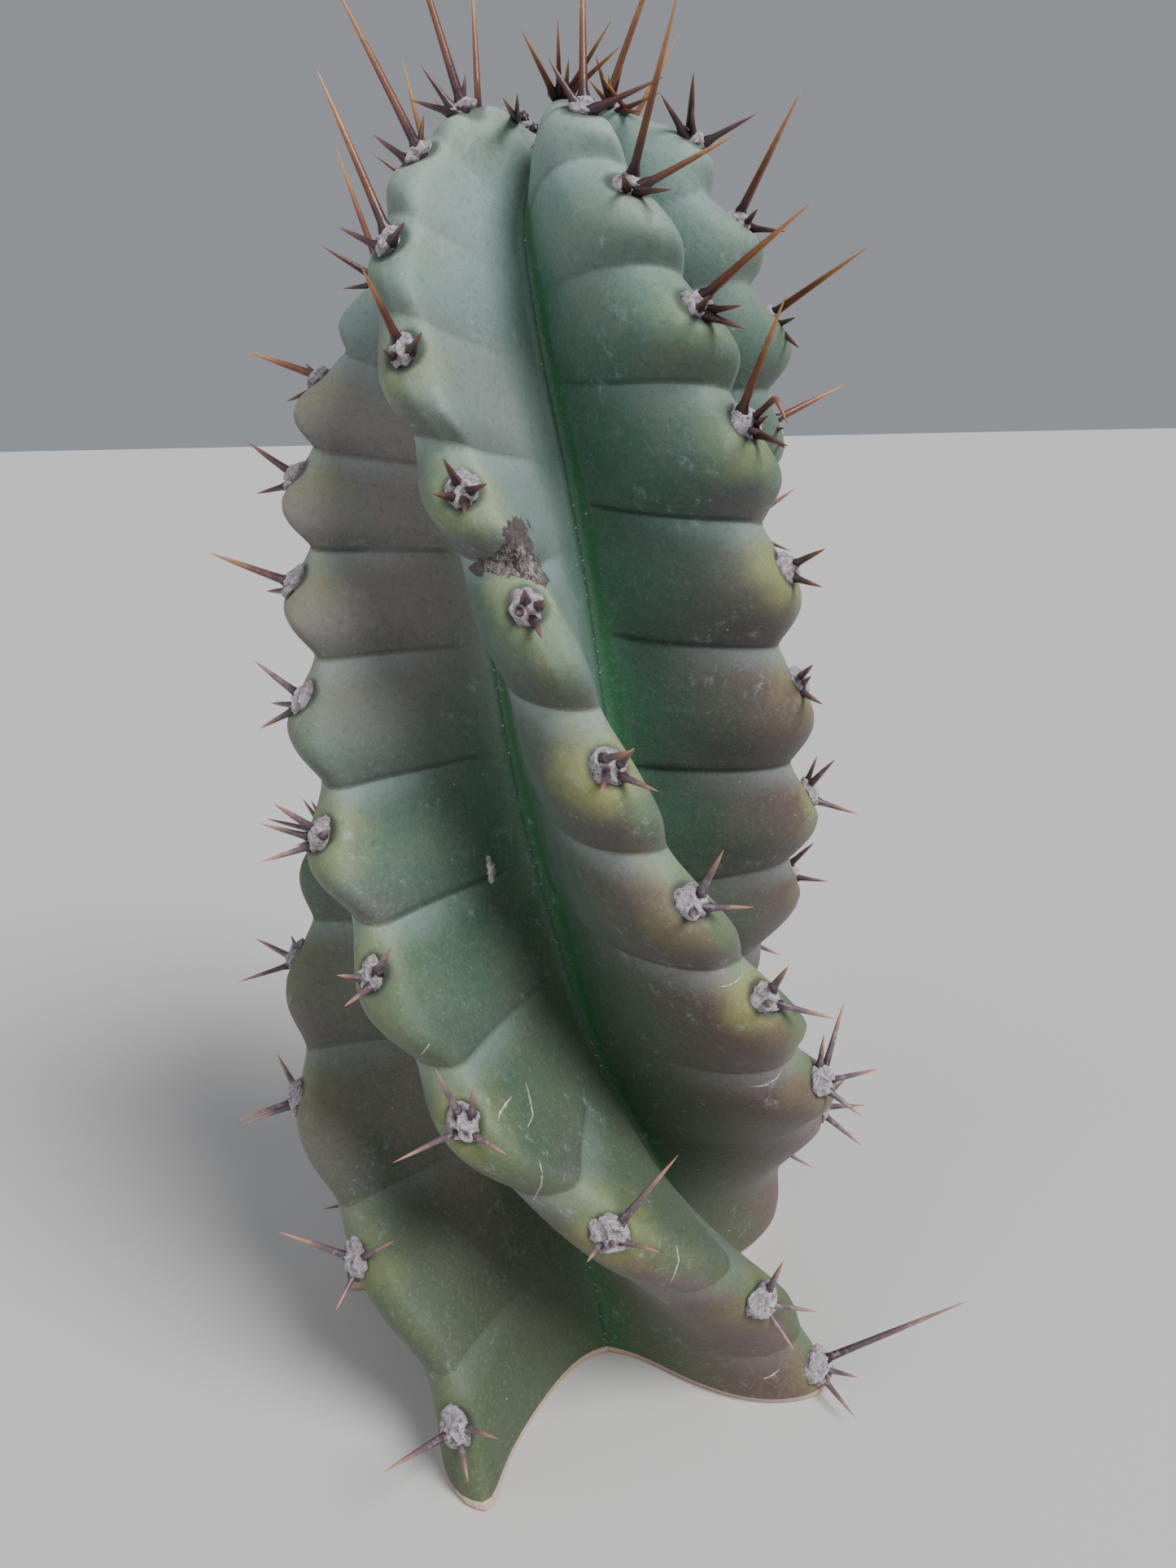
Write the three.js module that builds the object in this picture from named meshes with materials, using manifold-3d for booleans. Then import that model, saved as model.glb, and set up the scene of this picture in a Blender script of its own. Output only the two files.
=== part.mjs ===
// Spiral cactus cutting: one five-ribbed, twisted stem that stands on its flat, star-shaped cut.
// Millimetres, +Z up, origin at the middle of the cut, the photographed side facing -Y.
import * as THREE from 'three';
import loadManifold from 'manifold-3d';

// Height, sideways place and depthwise place of the stem's middle line
const AXIS_PATH = [[0, 0, 0], [60, -5, -1], [110, -7, 0], [160, -6, 3], [216, -3, 6]];

// Rows of the stem's outline: distance up a crest, then reach and height of the crest,
// then reach and height of the valley between two ribs
const STEM_PROFILE = [
  [0, 51, 0, 18, 0], [15, 47, 15, 16.5, 15], [40, 47.5, 40, 15, 40], [75, 48.5, 75, 14, 75],
  [100, 46, 100, 14, 100], [130, 42, 130, 14, 130], [160, 40, 160, 14, 159], [175, 37, 175, 13, 172],
  [188, 31.5, 188, 12, 183], [198, 24, 198, 10, 190], [204, 17, 203, 7, 194.5], [208, 11.5, 204.5, 5, 196.5],
  [212, 6, 202.5, 3, 198], [216, 0, 199, 0, 199],
];
const CREST_END = 216;

// Distance up a crest and the angle that the whole star has turned there, in degrees
const TWIST = [[0, -110], [20, -121], [40, -148], [60, -177], [80, -195], [100, -212], [140, -240],
  [180, -274], [216, -304]];

// Each rib's place round the star, how far its foot is turned, its reach along the stem, in the foot
// and at the top, how deep its notches are in the foot and at the top, how much of the notches runs on
// over the flank before the crest and over the flank after it, and the place of each spine cushion
const RIBS = [
  { turn: -2, footTurn: 0, reach: 1.03, footReach: 0.05, topReach: -0.06, footNotch: 0.15, topNotch: 1,
    creases: [0.6, 0.6], cushions: [11, 33, 51, 69, 88, 107, 125, 142, 158, 173, 187, 198, 206] },
  { turn: 77, footTurn: -1, reach: 1, footReach: -0.05, topReach: -0.12, footNotch: 0.2, topNotch: 1,
    creases: [0.6, 0.35], cushions: [5, 26, 48, 67, 87, 105, 123, 139, 154, 168, 183, 195, 204] },
  { turn: 147, footTurn: 3, reach: 1, footReach: -0.07, topReach: 0, footNotch: 0.1, topNotch: 0.45,
    creases: [0.6, 0.3], cushions: [17, 37, 58, 80, 98, 118, 139, 154, 171, 185, 197, 205] },
  { turn: 216, footTurn: 3, reach: 0.99, footReach: 0, topReach: 0, footNotch: 0.7, topNotch: 1,
    creases: [1, 0.6], cushions: [20, 40, 60, 79, 99, 121, 140, 161, 176, 191, 202] },
  { turn: 275, footTurn: 13, reach: 1.03, footReach: -0.04, topReach: -0.06, footNotch: 0.7, topNotch: 1,
    creases: [0.6, 0.6], cushions: [14, 33, 51, 70, 88, 106, 124, 142, 159, 176, 189, 200] },
];
const FOOT_FADE = 35;
const CALM_SPAN = 45;
const TOP_FROM = 160;
const TOP_FULL = 190;

// Ribs lean behind their crests: in degrees, more in the foot, and along the stem near the crest only
const FOOT_SWIRL = 8;
const SWIRL_FADE = 25;
const CREST_HOOK = 6;
const HOOK_SHARPNESS = 4;

// Half thickness of a rib up the stem, its section and the scallops along the crest
const RIB_HALF_THICKNESS = [[0, 7.6], [30, 8.4], [60, 7.6], [100, 6.6], [216, 6.4]];
const RIB_SQUARENESS = [[0, 2.8], [30, 3.2], [70, 3.7], [216, 3.7]];
const NOTCH_DEPTH = 4.2;
const NOTCH_PINCH = 0.2;
const NOTCH_ABOVE_CUSHION = 0.33;
const SCALLOP_LEAN = 1.3;
const FIRST_NOTCH = -8;
const LAST_NOTCH = CREST_END + 4;
const SCALLOP_FADE = 12;
const CALM_SWELL = 0.75;
const CALM_FROM = 150;
const CALM_FULL = 178;
const FLANK_STARTS = 0.1;
const FLANK_FULL = 0.5;
const TOP_CREASES = 0.4;
const SLANT_WIDENS = 0.8;
const WIDEST_KNEE = 0.62;

// Distance up a crest, then how much the creases there follow the slope of the ribs over the flank
// before the crest and over the flank after it, negative where they run against it
const CREASE_SLANT = [
  [0, 0.5, 0.5], [45, 0.45, 0.45], [75, 0.15, 0.2], [95, -0.1, 0.1], [120, -0.3, 0.1],
  [140, -0.4, -0.1], [160, -0.4, -0.5], [216, -0.4, -0.6],
];

// Places of the mesh points across half a rib, from the crest (0) to the valley (1)
const ACROSS = [0, 0.15, 0.28, 0.42, 0.66, 1];
const RING_STEP = 4;
const TOP_RING_STEP = 2.2;
const TOP_RINGS_FROM = 196;

// Spine cushions: half length, half width and height of the felt pad
const CUSHION = { along: 3.1, across: 2.6, high: 1.1, sides: 6, levels: 3 };
const FRAME_STEP = 1.5;
const SPINE_SIDES = 3;
const SPINE_SUNK = 2;
const SPINE_CLEARANCE = 0.8;

// Distance up the crest and the usual length of the central spine there
const CENTRAL_LENGTH = [[0, 9], [60, 8], [120, 9], [150, 12], [170, 17], [185, 26], [216, 34]];
const CENTRAL_RADIUS = 0.75;
const CENTRAL_TILT = 12;
const TILT_SPREAD = 8;
const SIDEWAYS_SPREAD = 10;
const LENGTH_SPREAD = 0.15;

// Central spines that differ from the usual: rib, cushion, length, tilt up the crest, tilt sideways
const ODD_SPINES = [
  [0, 0, 19, -10, 4], [0, 1, 14, 30, 7], [0, 2, 13, -25, -20], [0, 3, 15, -40, -26],
  [1, 0, 30, 11, 30], [1, 2, 18, 20, 60], [1, 3, 15, 30, 39], [1, 7, 14, -7, -9], [1, 9, 15, -15, -10],
  [2, 8, 13, 22, 13], [2, 9, 23, 23, 11], [2, 10, 28, 11, 0], [2, 11, 33, 10, 2],
  [3, 7, 20, 23, 1], [3, 8, 23, -17, 11], [3, 9, 26, 2, 19], [3, 10, 24, 11, 11],
  [4, 8, 16, 3, -9], [4, 9, 20, -3, -9], [4, 10, 20, 12, 0], [4, 11, 10, 35, -3],
];

// The other spines of a cushion: tilt up the crest and sideways, length and base radius
const SIDE_SPINES = [
  { up: -30, side: 45, length: 9, radius: 0.6 },
  { up: -26, side: -48, length: 10, radius: 0.6 },
];
const SIDE_LENGTH_SPREAD = 0.2;
const SEEDS_PER_RIB = 20;

const SKIN = { color: 0x74917f, roughness: 0.62, metalness: 0 };

const degrees = Math.PI / 180;

// Value of one column of a station table at a place, as a smooth curve through the stations
function smoothAt(table, place, column = 1) {
  const last = table.length - 1;
  let i = 0;
  while (i < last - 1 && table[i + 1][0] < place) i += 1;
  const slope = (k) => {
    const a = table[Math.max(k - 1, 0)];
    const b = table[Math.min(k + 1, last)];
    return (b[column] - a[column]) / (b[0] - a[0]);
  };
  const width = table[i + 1][0] - table[i][0];
  const t = THREE.MathUtils.clamp((place - table[i][0]) / width, 0, 1);
  const start = table[i][column] * (1 + 2 * t) * (1 - t) ** 2;
  const end = table[i + 1][column] * t ** 2 * (3 - 2 * t);
  const bend = slope(i) * t * (1 - t) ** 2 - slope(i + 1) * t ** 2 * (1 - t);
  return start + end + bend * width;
}

// A repeatable number from -1 to 1 for each pair of counts
function vary(first, second) {
  const wave = Math.sin(first * 12.9898 + second * 78.233) * 4375.85;
  return 2 * (wave - Math.floor(wave)) - 1;
}

// How far a crest swells out at a place between its notches, from 0 in a full notch to 1
function swell(rib, place) {
  const notches = [FIRST_NOTCH];
  rib.cushions.forEach((cushion, i) => {
    const next = rib.cushions[i + 1] ?? LAST_NOTCH;
    notches.push(cushion + NOTCH_ABOVE_CUSHION * (next - cushion));
  });
  notches.push(LAST_NOTCH);
  const above = notches.findIndex((notch) => notch > place);
  const phase = (notches[above] - place) / (notches[above] - notches[above - 1]);
  const calm = (1 - rib.footNotch) * Math.exp(-((place / CALM_SPAN) ** 2))
    + (1 - rib.topNotch) * THREE.MathUtils.smoothstep(place, CALM_FROM, CALM_FULL);
  return THREE.MathUtils.lerp(Math.sin(Math.PI * phase ** SCALLOP_LEAN) ** SCALLOP_LEAN, CALM_SWELL, calm);
}

// The swelling of a crest as it is left on a flank, where only a share of each crease runs on,
// and less of it near the top
function flankSwell(rib, side, across, place, swollen) {
  const kept = 1 - (1 - TOP_CREASES) * THREE.MathUtils.smoothstep(place, TOP_FROM, TOP_FULL);
  const lost = 1 - rib.creases[side < 0 ? 0 : 1] * kept;
  const onFlank = THREE.MathUtils.smoothstep(across, FLANK_STARTS, FLANK_FULL);
  return THREE.MathUtils.lerp(swollen, CALM_SWELL, lost * onFlank);
}

// Angle of a rib's crest at a place, in degrees
function crestAngle(index, place) {
  const rib = RIBS[(index + RIBS.length) % RIBS.length];
  const wholeTurns = 360 * Math.floor(index / RIBS.length);
  return smoothAt(TWIST, place) + rib.turn + wholeTurns + rib.footTurn * Math.exp(-place / FOOT_FADE);
}

// Slope of the crests: how far they run round the stem for each millimetre up it
function crestSlope(place) {
  const turned = (smoothAt(TWIST, place + 1) - smoothAt(TWIST, place - 1)) / 2;
  return smoothAt(STEM_PROFILE, place, 1) * turned * degrees;
}

// Reach of a rib's crest at a place, swollen by 0 to 1 there
function crestReachAt(rib, place, swollen) {
  const footShare = Math.exp(-place / FOOT_FADE);
  const topShare = THREE.MathUtils.smoothstep(place, TOP_FROM, TOP_FULL);
  const stretch = rib.reach + rib.footReach * footShare + rib.topReach * topShare;
  const scallopShare = Math.min(1, (CREST_END - place) / SCALLOP_FADE);
  return smoothAt(STEM_PROFILE, place, 1) * stretch - NOTCH_DEPTH * (1 - swollen) * scallopShare;
}

// Half thickness of a rib at a place, wider where it slants
function halfThickness(place, swollen) {
  const slanted = Math.sqrt(1 + (SLANT_WIDENS * crestSlope(place)) ** 2);
  return smoothAt(RIB_HALF_THICKNESS, place) * slanted * (1 - NOTCH_PINCH * (1 - swollen));
}

// Point of the skin on one rib: side is 1 or -1, across runs from 0 at the crest to 1 in the valley
function skinPoint(index, side, across, place) {
  const rib = RIBS[index];
  const halfGap = Math.abs(crestAngle(index + side, place) - crestAngle(index, place)) / 2;
  const slope = crestSlope(place);
  const sideways = side * across * halfGap * degrees * smoothAt(STEM_PROFILE, place, 1);
  const slant = smoothAt(CREASE_SLANT, place, side < 0 ? 1 : 2);
  const fallen = sideways * slant * slope / (1 + slope ** 2);
  const swollen = flankSwell(rib, side, across, place, swell(rib, place + fallen));
  const crestReach = crestReachAt(rib, place, swollen);
  const valleyReach = smoothAt(STEM_PROFILE, place, 3);
  const middle = Math.max((crestReach + valleyReach) / 2, 1);
  const thickness = halfThickness(place, swollen);
  const knee = Math.min(thickness / (middle * halfGap * degrees), WIDEST_KNEE);
  const squareness = smoothAt(RIB_SQUARENESS, place);
  const section = (x) => 1 / (1 + (x / knee) ** squareness);
  const share = (section(across) - section(1)) / (1 - section(1));
  const swirl = FOOT_SWIRL * Math.exp(-place / SWIRL_FADE) * (1 - share)
    + CREST_HOOK * (1 - share ** HOOK_SHARPNESS);
  const angle = (crestAngle(index, place) + side * across * halfGap - swirl) * degrees;
  const reach = THREE.MathUtils.lerp(valleyReach, crestReach, share);
  const height = THREE.MathUtils.lerp(
    smoothAt(STEM_PROFILE, place, 4), smoothAt(STEM_PROFILE, place, 2), share);
  return new THREE.Vector3(
    smoothAt(AXIS_PATH, place, 1) + reach * Math.cos(angle),
    smoothAt(AXIS_PATH, place, 2) + reach * Math.sin(angle),
    height);
}

// Places of the rings up the stem, closer together over the top
function ringPlaces() {
  const places = [];
  for (let place = 0; place < TOP_RINGS_FROM; place += RING_STEP) places.push(place);
  for (let place = TOP_RINGS_FROM; place < CREST_END - 1; place += TOP_RING_STEP) places.push(place);
  return places;
}

// Points of one ring, going round the stem once
function ringPoints(place) {
  const points = [];
  RIBS.forEach((rib, index) => {
    for (const x of [...ACROSS.slice(1, -1)].reverse()) points.push(skinPoint(index, -1, x, place));
    for (const x of ACROSS) points.push(skinPoint(index, 1, x, place));
  });
  return points;
}

// Closed skin of the stem as a geometry: stacked rings, a flat cut below and the growing tip on top
function stemGeometry() {
  const rings = ringPlaces().map(ringPoints);
  const around = rings[0].length;
  const positions = rings.flat();
  const cutMiddle = positions.push(new THREE.Vector3(0, 0, 0)) - 1;
  const tip = positions.push(skinPoint(0, 1, 0, CREST_END)) - 1;
  const faces = [];
  for (let ring = 0; ring < rings.length - 1; ring += 1) {
    for (let i = 0; i < around; i += 1) {
      const next = (i + 1) % around;
      const [a, b] = [ring * around + i, ring * around + next];
      const [c, d] = [b + around, a + around];
      const shortFirst = positions[a].distanceTo(positions[c]) < positions[b].distanceTo(positions[d]);
      faces.push(...(shortFirst ? [a, b, c, a, c, d] : [a, b, d, b, c, d]));
    }
  }
  const lastRing = (rings.length - 1) * around;
  for (let i = 0; i < around; i += 1) {
    const next = (i + 1) % around;
    faces.push(cutMiddle, next, i, lastRing + i, lastRing + next, tip);
  }
  const geometry = new THREE.BufferGeometry();
  geometry.setAttribute('position', new THREE.Float32BufferAttribute(positions.flatMap((p) => [...p]), 3));
  geometry.setIndex(faces);
  return geometry;
}

// Frame of a cushion: origin on the crest, along it, across it and out of it
function cushionFrame(index, place) {
  const origin = skinPoint(index, 1, 0, place);
  const ahead = skinPoint(index, 1, 0, place + FRAME_STEP);
  const along = ahead.sub(skinPoint(index, 1, 0, place - FRAME_STEP)).normalize();
  const angle = crestAngle(index, place) * degrees;
  const out = new THREE.Vector3(Math.cos(angle), Math.sin(angle), 0);
  out.addScaledVector(along, -out.dot(along)).normalize();
  const across = new THREE.Vector3().crossVectors(along, out);
  return { origin, along, across, out };
}

// Felt pad of a cushion, half sunk into the crest
function cushionGeometry(frame) {
  const pad = new THREE.SphereGeometry(1, CUSHION.sides, CUSHION.levels);
  pad.rotateX(Math.PI / 2);
  pad.scale(CUSHION.across, CUSHION.along, CUSHION.high);
  const basis = new THREE.Matrix4().makeBasis(frame.across, frame.along, frame.out);
  return pad.applyMatrix4(basis.setPosition(frame.origin));
}

// Direction of a spine tilted up its crest and to the side, kept clear of the ground
function spineDirection(frame, tiltUp, tiltSide, length) {
  const direction = frame.out.clone();
  direction.addScaledVector(frame.along, Math.tan(tiltUp * degrees));
  direction.addScaledVector(frame.across, Math.tan(tiltSide * degrees));
  direction.normalize();
  const lowest = (SPINE_CLEARANCE - frame.origin.z) / length;
  if (direction.z < lowest) {
    const flat = Math.hypot(direction.x, direction.y);
    const scale = Math.sqrt(1 - lowest ** 2) / flat;
    direction.set(direction.x * scale, direction.y * scale, lowest);
  }
  return direction;
}

// One spine as a slim cone with its root inside the rib
function spineGeometry(frame, direction, length, radius) {
  const cone = new THREE.ConeGeometry(radius, length + SPINE_SUNK, SPINE_SIDES);
  cone.translate(0, (length - SPINE_SUNK) / 2, 0);
  const turn = new THREE.Quaternion().setFromUnitVectors(new THREE.Vector3(0, 1, 0), direction);
  return cone.applyQuaternion(turn).translate(...frame.origin);
}

// Length and tilts of the central spine of a cushion
function centralSpine(index, number, place) {
  const odd = ODD_SPINES.find(([rib, cushion]) => rib === index && cushion === number);
  if (odd) return odd.slice(2);
  const seed = index * SEEDS_PER_RIB + number;
  return [
    smoothAt(CENTRAL_LENGTH, place) * (1 + LENGTH_SPREAD * vary(seed, 1)),
    CENTRAL_TILT + TILT_SPREAD * vary(seed, 2),
    SIDEWAYS_SPREAD * vary(seed, 3),
  ];
}

// All spines of one cushion
function cushionSpines(index, number, place, frame) {
  const [length, tiltUp, tiltSide] = centralSpine(index, number, place);
  const central = spineDirection(frame, tiltUp, tiltSide, length);
  const spines = [spineGeometry(frame, central, length, CENTRAL_RADIUS)];
  const seed = index * SEEDS_PER_RIB + number;
  SIDE_SPINES.forEach((spine, i) => {
    const sideLength = spine.length * (1 + SIDE_LENGTH_SPREAD * vary(seed, i + 4));
    const direction = spineDirection(frame, spine.up, spine.side, sideLength);
    spines.push(spineGeometry(frame, direction, sideLength, spine.radius));
  });
  return spines;
}

// Geometry as a closed solid of the boolean library, with equal corners joined
function toSolid(library, geometry) {
  const source = geometry.index ? geometry : geometry.clone();
  const position = source.getAttribute('position');
  const index = source.index ? source.index.array : [...Array(position.count).keys()];
  const mesh = new library.Mesh({
    numProp: 3,
    vertProperties: Float32Array.from(position.array),
    triVerts: Uint32Array.from(index),
  });
  mesh.merge();
  return new library.Manifold(mesh);
}

// Solid of the boolean library as a geometry for a mesh
function toGeometry(solid) {
  const mesh = solid.getMesh();
  const geometry = new THREE.BufferGeometry();
  geometry.setAttribute('position', new THREE.Float32BufferAttribute(mesh.vertProperties, 3));
  geometry.setIndex([...mesh.triVerts]);
  geometry.computeVertexNormals();
  return geometry;
}

// The whole cutting as one mesh: stem, cushions and spines grown together
async function makeCactus() {
  const library = await loadManifold();
  library.setup();
  const pieces = [stemGeometry()];
  RIBS.forEach((rib, index) => {
    rib.cushions.forEach((place, number) => {
      const frame = cushionFrame(index, place);
      pieces.push(cushionGeometry(frame), ...cushionSpines(index, number, place, frame));
    });
  });
  const solid = library.Manifold.union(pieces.map((piece) => toSolid(library, piece)));
  const mesh = new THREE.Mesh(toGeometry(solid), new THREE.MeshStandardMaterial(SKIN));
  mesh.name = 'cactus_stem';
  return mesh;
}

const cactus = new THREE.Group();
cactus.add(await makeCactus());

export default cactus;
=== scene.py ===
"""Spiral cactus cutting: a twisted, scalloped stem with felt cushions, spines and a dried cut.

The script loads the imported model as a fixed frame, grows the fine pieces over it in the same place,
dresses them with node-based finishes and sets a plain studio round them. Lengths in the classes are
in millimetres, as on the plant, and MM turns them into metres.
"""

import logging
import math
from dataclasses import dataclass, field
from enum import Enum, IntEnum

import bpy
import numpy as np
from mathutils import Matrix, Vector, noise


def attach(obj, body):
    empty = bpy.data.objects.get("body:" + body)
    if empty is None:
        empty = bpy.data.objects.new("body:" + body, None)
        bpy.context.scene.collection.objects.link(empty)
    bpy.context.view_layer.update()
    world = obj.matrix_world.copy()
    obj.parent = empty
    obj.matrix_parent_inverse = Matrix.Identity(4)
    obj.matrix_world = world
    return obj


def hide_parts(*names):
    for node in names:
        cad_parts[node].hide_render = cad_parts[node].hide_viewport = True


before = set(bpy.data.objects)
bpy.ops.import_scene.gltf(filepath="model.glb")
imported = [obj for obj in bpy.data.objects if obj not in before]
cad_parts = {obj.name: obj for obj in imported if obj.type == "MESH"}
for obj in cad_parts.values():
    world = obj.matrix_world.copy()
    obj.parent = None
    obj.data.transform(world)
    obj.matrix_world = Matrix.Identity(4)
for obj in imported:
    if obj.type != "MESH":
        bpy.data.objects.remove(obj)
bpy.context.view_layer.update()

MM = 0.001
BODY = "root"
STEM_NODE = "cactus_stem"
VARY_FACTORS = (12.9898, 78.233, 4375.85)
NOISE_MIDDLE = 0.5
LEAST_LENGTH = 1e-12
LEAST_RADIUS = 0.02

logging.basicConfig(level=logging.INFO, format="%(message)s")
log = logging.getLogger("cactus")

Array = np.ndarray
Thing = bpy.types.Object
Colour = tuple[float, float, float]
Numbers = tuple[float, ...]
Table = tuple[Numbers, ...]
Band = tuple[str | float, ...]
Bands = tuple[Band, ...]
Washes = tuple[tuple[Colour | str | Band, ...], ...]
Grid = dict[str, Array]


class Slot(Enum):
    """Material slots of the record that pieces take their finish from."""

    SKIN = "skin"


class Flank(Enum):
    """The two flanks of a rib, seen from outside with the tip up."""

    BEFORE = -1
    AFTER = 1


class Draw(IntEnum):
    """Counts that keep the draws for one cushion apart. Draws for several spines go on from theirs."""

    LENGTH = 1
    UP = 2
    SIDEWAYS = 3
    SIDE_LENGTH = 4
    SIDE_TURN = 24
    CROWN_UP = 0
    CROWN_SIDE = 9
    CROWN_LENGTH = 18
    BEND = 40
    SIZE = 50


def smooth_at(table: Table, place: Array | float, column: int = 1) -> Array:
    """Read a column of a table as a smooth curve through its stations.

    Args:
        table: rows that start with their station, in rising order.
        place: where to read the curve.
        column: the column to read.

    Returns:
        The curve's values.
    """
    rows = np.array(table, float)
    stations, values = rows[:, 0], rows[:, column]
    last = len(rows) - 1
    order = np.arange(last + 1)
    before, after = np.maximum(order - 1, 0), np.minimum(order + 1, last)
    slopes = (values[after] - values[before]) / (stations[after] - stations[before])
    place = np.asarray(place, float)
    i = np.searchsorted(stations[1:last], place, side="left")
    width = stations[i + 1] - stations[i]
    t = np.clip((place - stations[i]) / width, 0, 1)
    start, end = values[i] * (1 + 2 * t) * (1 - t) ** 2, values[i + 1] * t**2 * (3 - 2 * t)
    bend = slopes[i] * t * (1 - t) ** 2 - slopes[i + 1] * t**2 * (1 - t)
    return start + end + bend * width


def smoothstep(value: Array | float, low: Array | float, high: Array | float) -> Array:
    """Rise smoothly from 0 at low to 1 at high."""
    t = np.clip((np.asarray(value, float) - low) / (high - low), 0, 1)
    return t * t * (3 - 2 * t)


def hill(value: Array | float, middle: float, width: float) -> Array:
    """A smooth hill of height 1 at the middle."""
    return np.exp(-(((np.asarray(value, float) - middle) / width) ** 2))


def vary(first: float, second: float) -> float:
    """A repeatable number from -1 to 1 for each pair of counts."""
    wave = math.sin(first * VARY_FACTORS[0] + second * VARY_FACTORS[1]) * VARY_FACTORS[2]
    return 2 * (wave - math.floor(wave)) - 1


def unit(vector: Array) -> Array:
    """Vectors along the last axis, each brought to length 1."""
    return vector / np.maximum(np.linalg.norm(vector, axis=-1, keepdims=True), LEAST_LENGTH)


def stops_along(line: Array) -> Array:
    """How far along a line of straight stretches each of its corners lies."""
    return np.concatenate([[0], np.cumsum(np.linalg.norm(np.diff(line, axis=0), axis=1))])


def off_line(line: Array, points: Array) -> Array:
    """Distance of each point to a line of straight stretches."""
    nearest = np.full(points.shape[:-1], np.inf)
    for start, way in zip(line, np.diff(line, axis=0)):
        share = np.clip((points - start) @ way / (way @ way), 0, 1)
        nearest = np.minimum(nearest, np.linalg.norm(points - start - share[..., None] * way, axis=-1))
    return nearest


@dataclass(frozen=True)
class Rib:
    """One rib of the stem.

    turn is its place round the star in degrees, foot_turn the extra turn of its foot. reach, foot_reach
    and top_reach stretch its crest, foot_notch and top_notch are the shares of the notches left in the
    foot and at the top, creases the share of them that runs on over each flank, and cushions how far up
    the crest each cushion sits.
    """

    turn: float
    foot_turn: float
    reach: float
    foot_reach: float
    top_reach: float
    foot_notch: float
    top_notch: float
    creases: tuple[float, float]
    cushions: Numbers


@dataclass(frozen=True)
class Seat:
    """The seat of a cushion, in millimetres: its origin, and along, across and out of the crest."""

    origin: Array
    along: Array
    across: Array
    out: Array

    def matrix(self) -> Array:
        """The three directions as columns of a matrix."""
        return np.stack([self.across, self.along, self.out], axis=-1)


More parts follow.
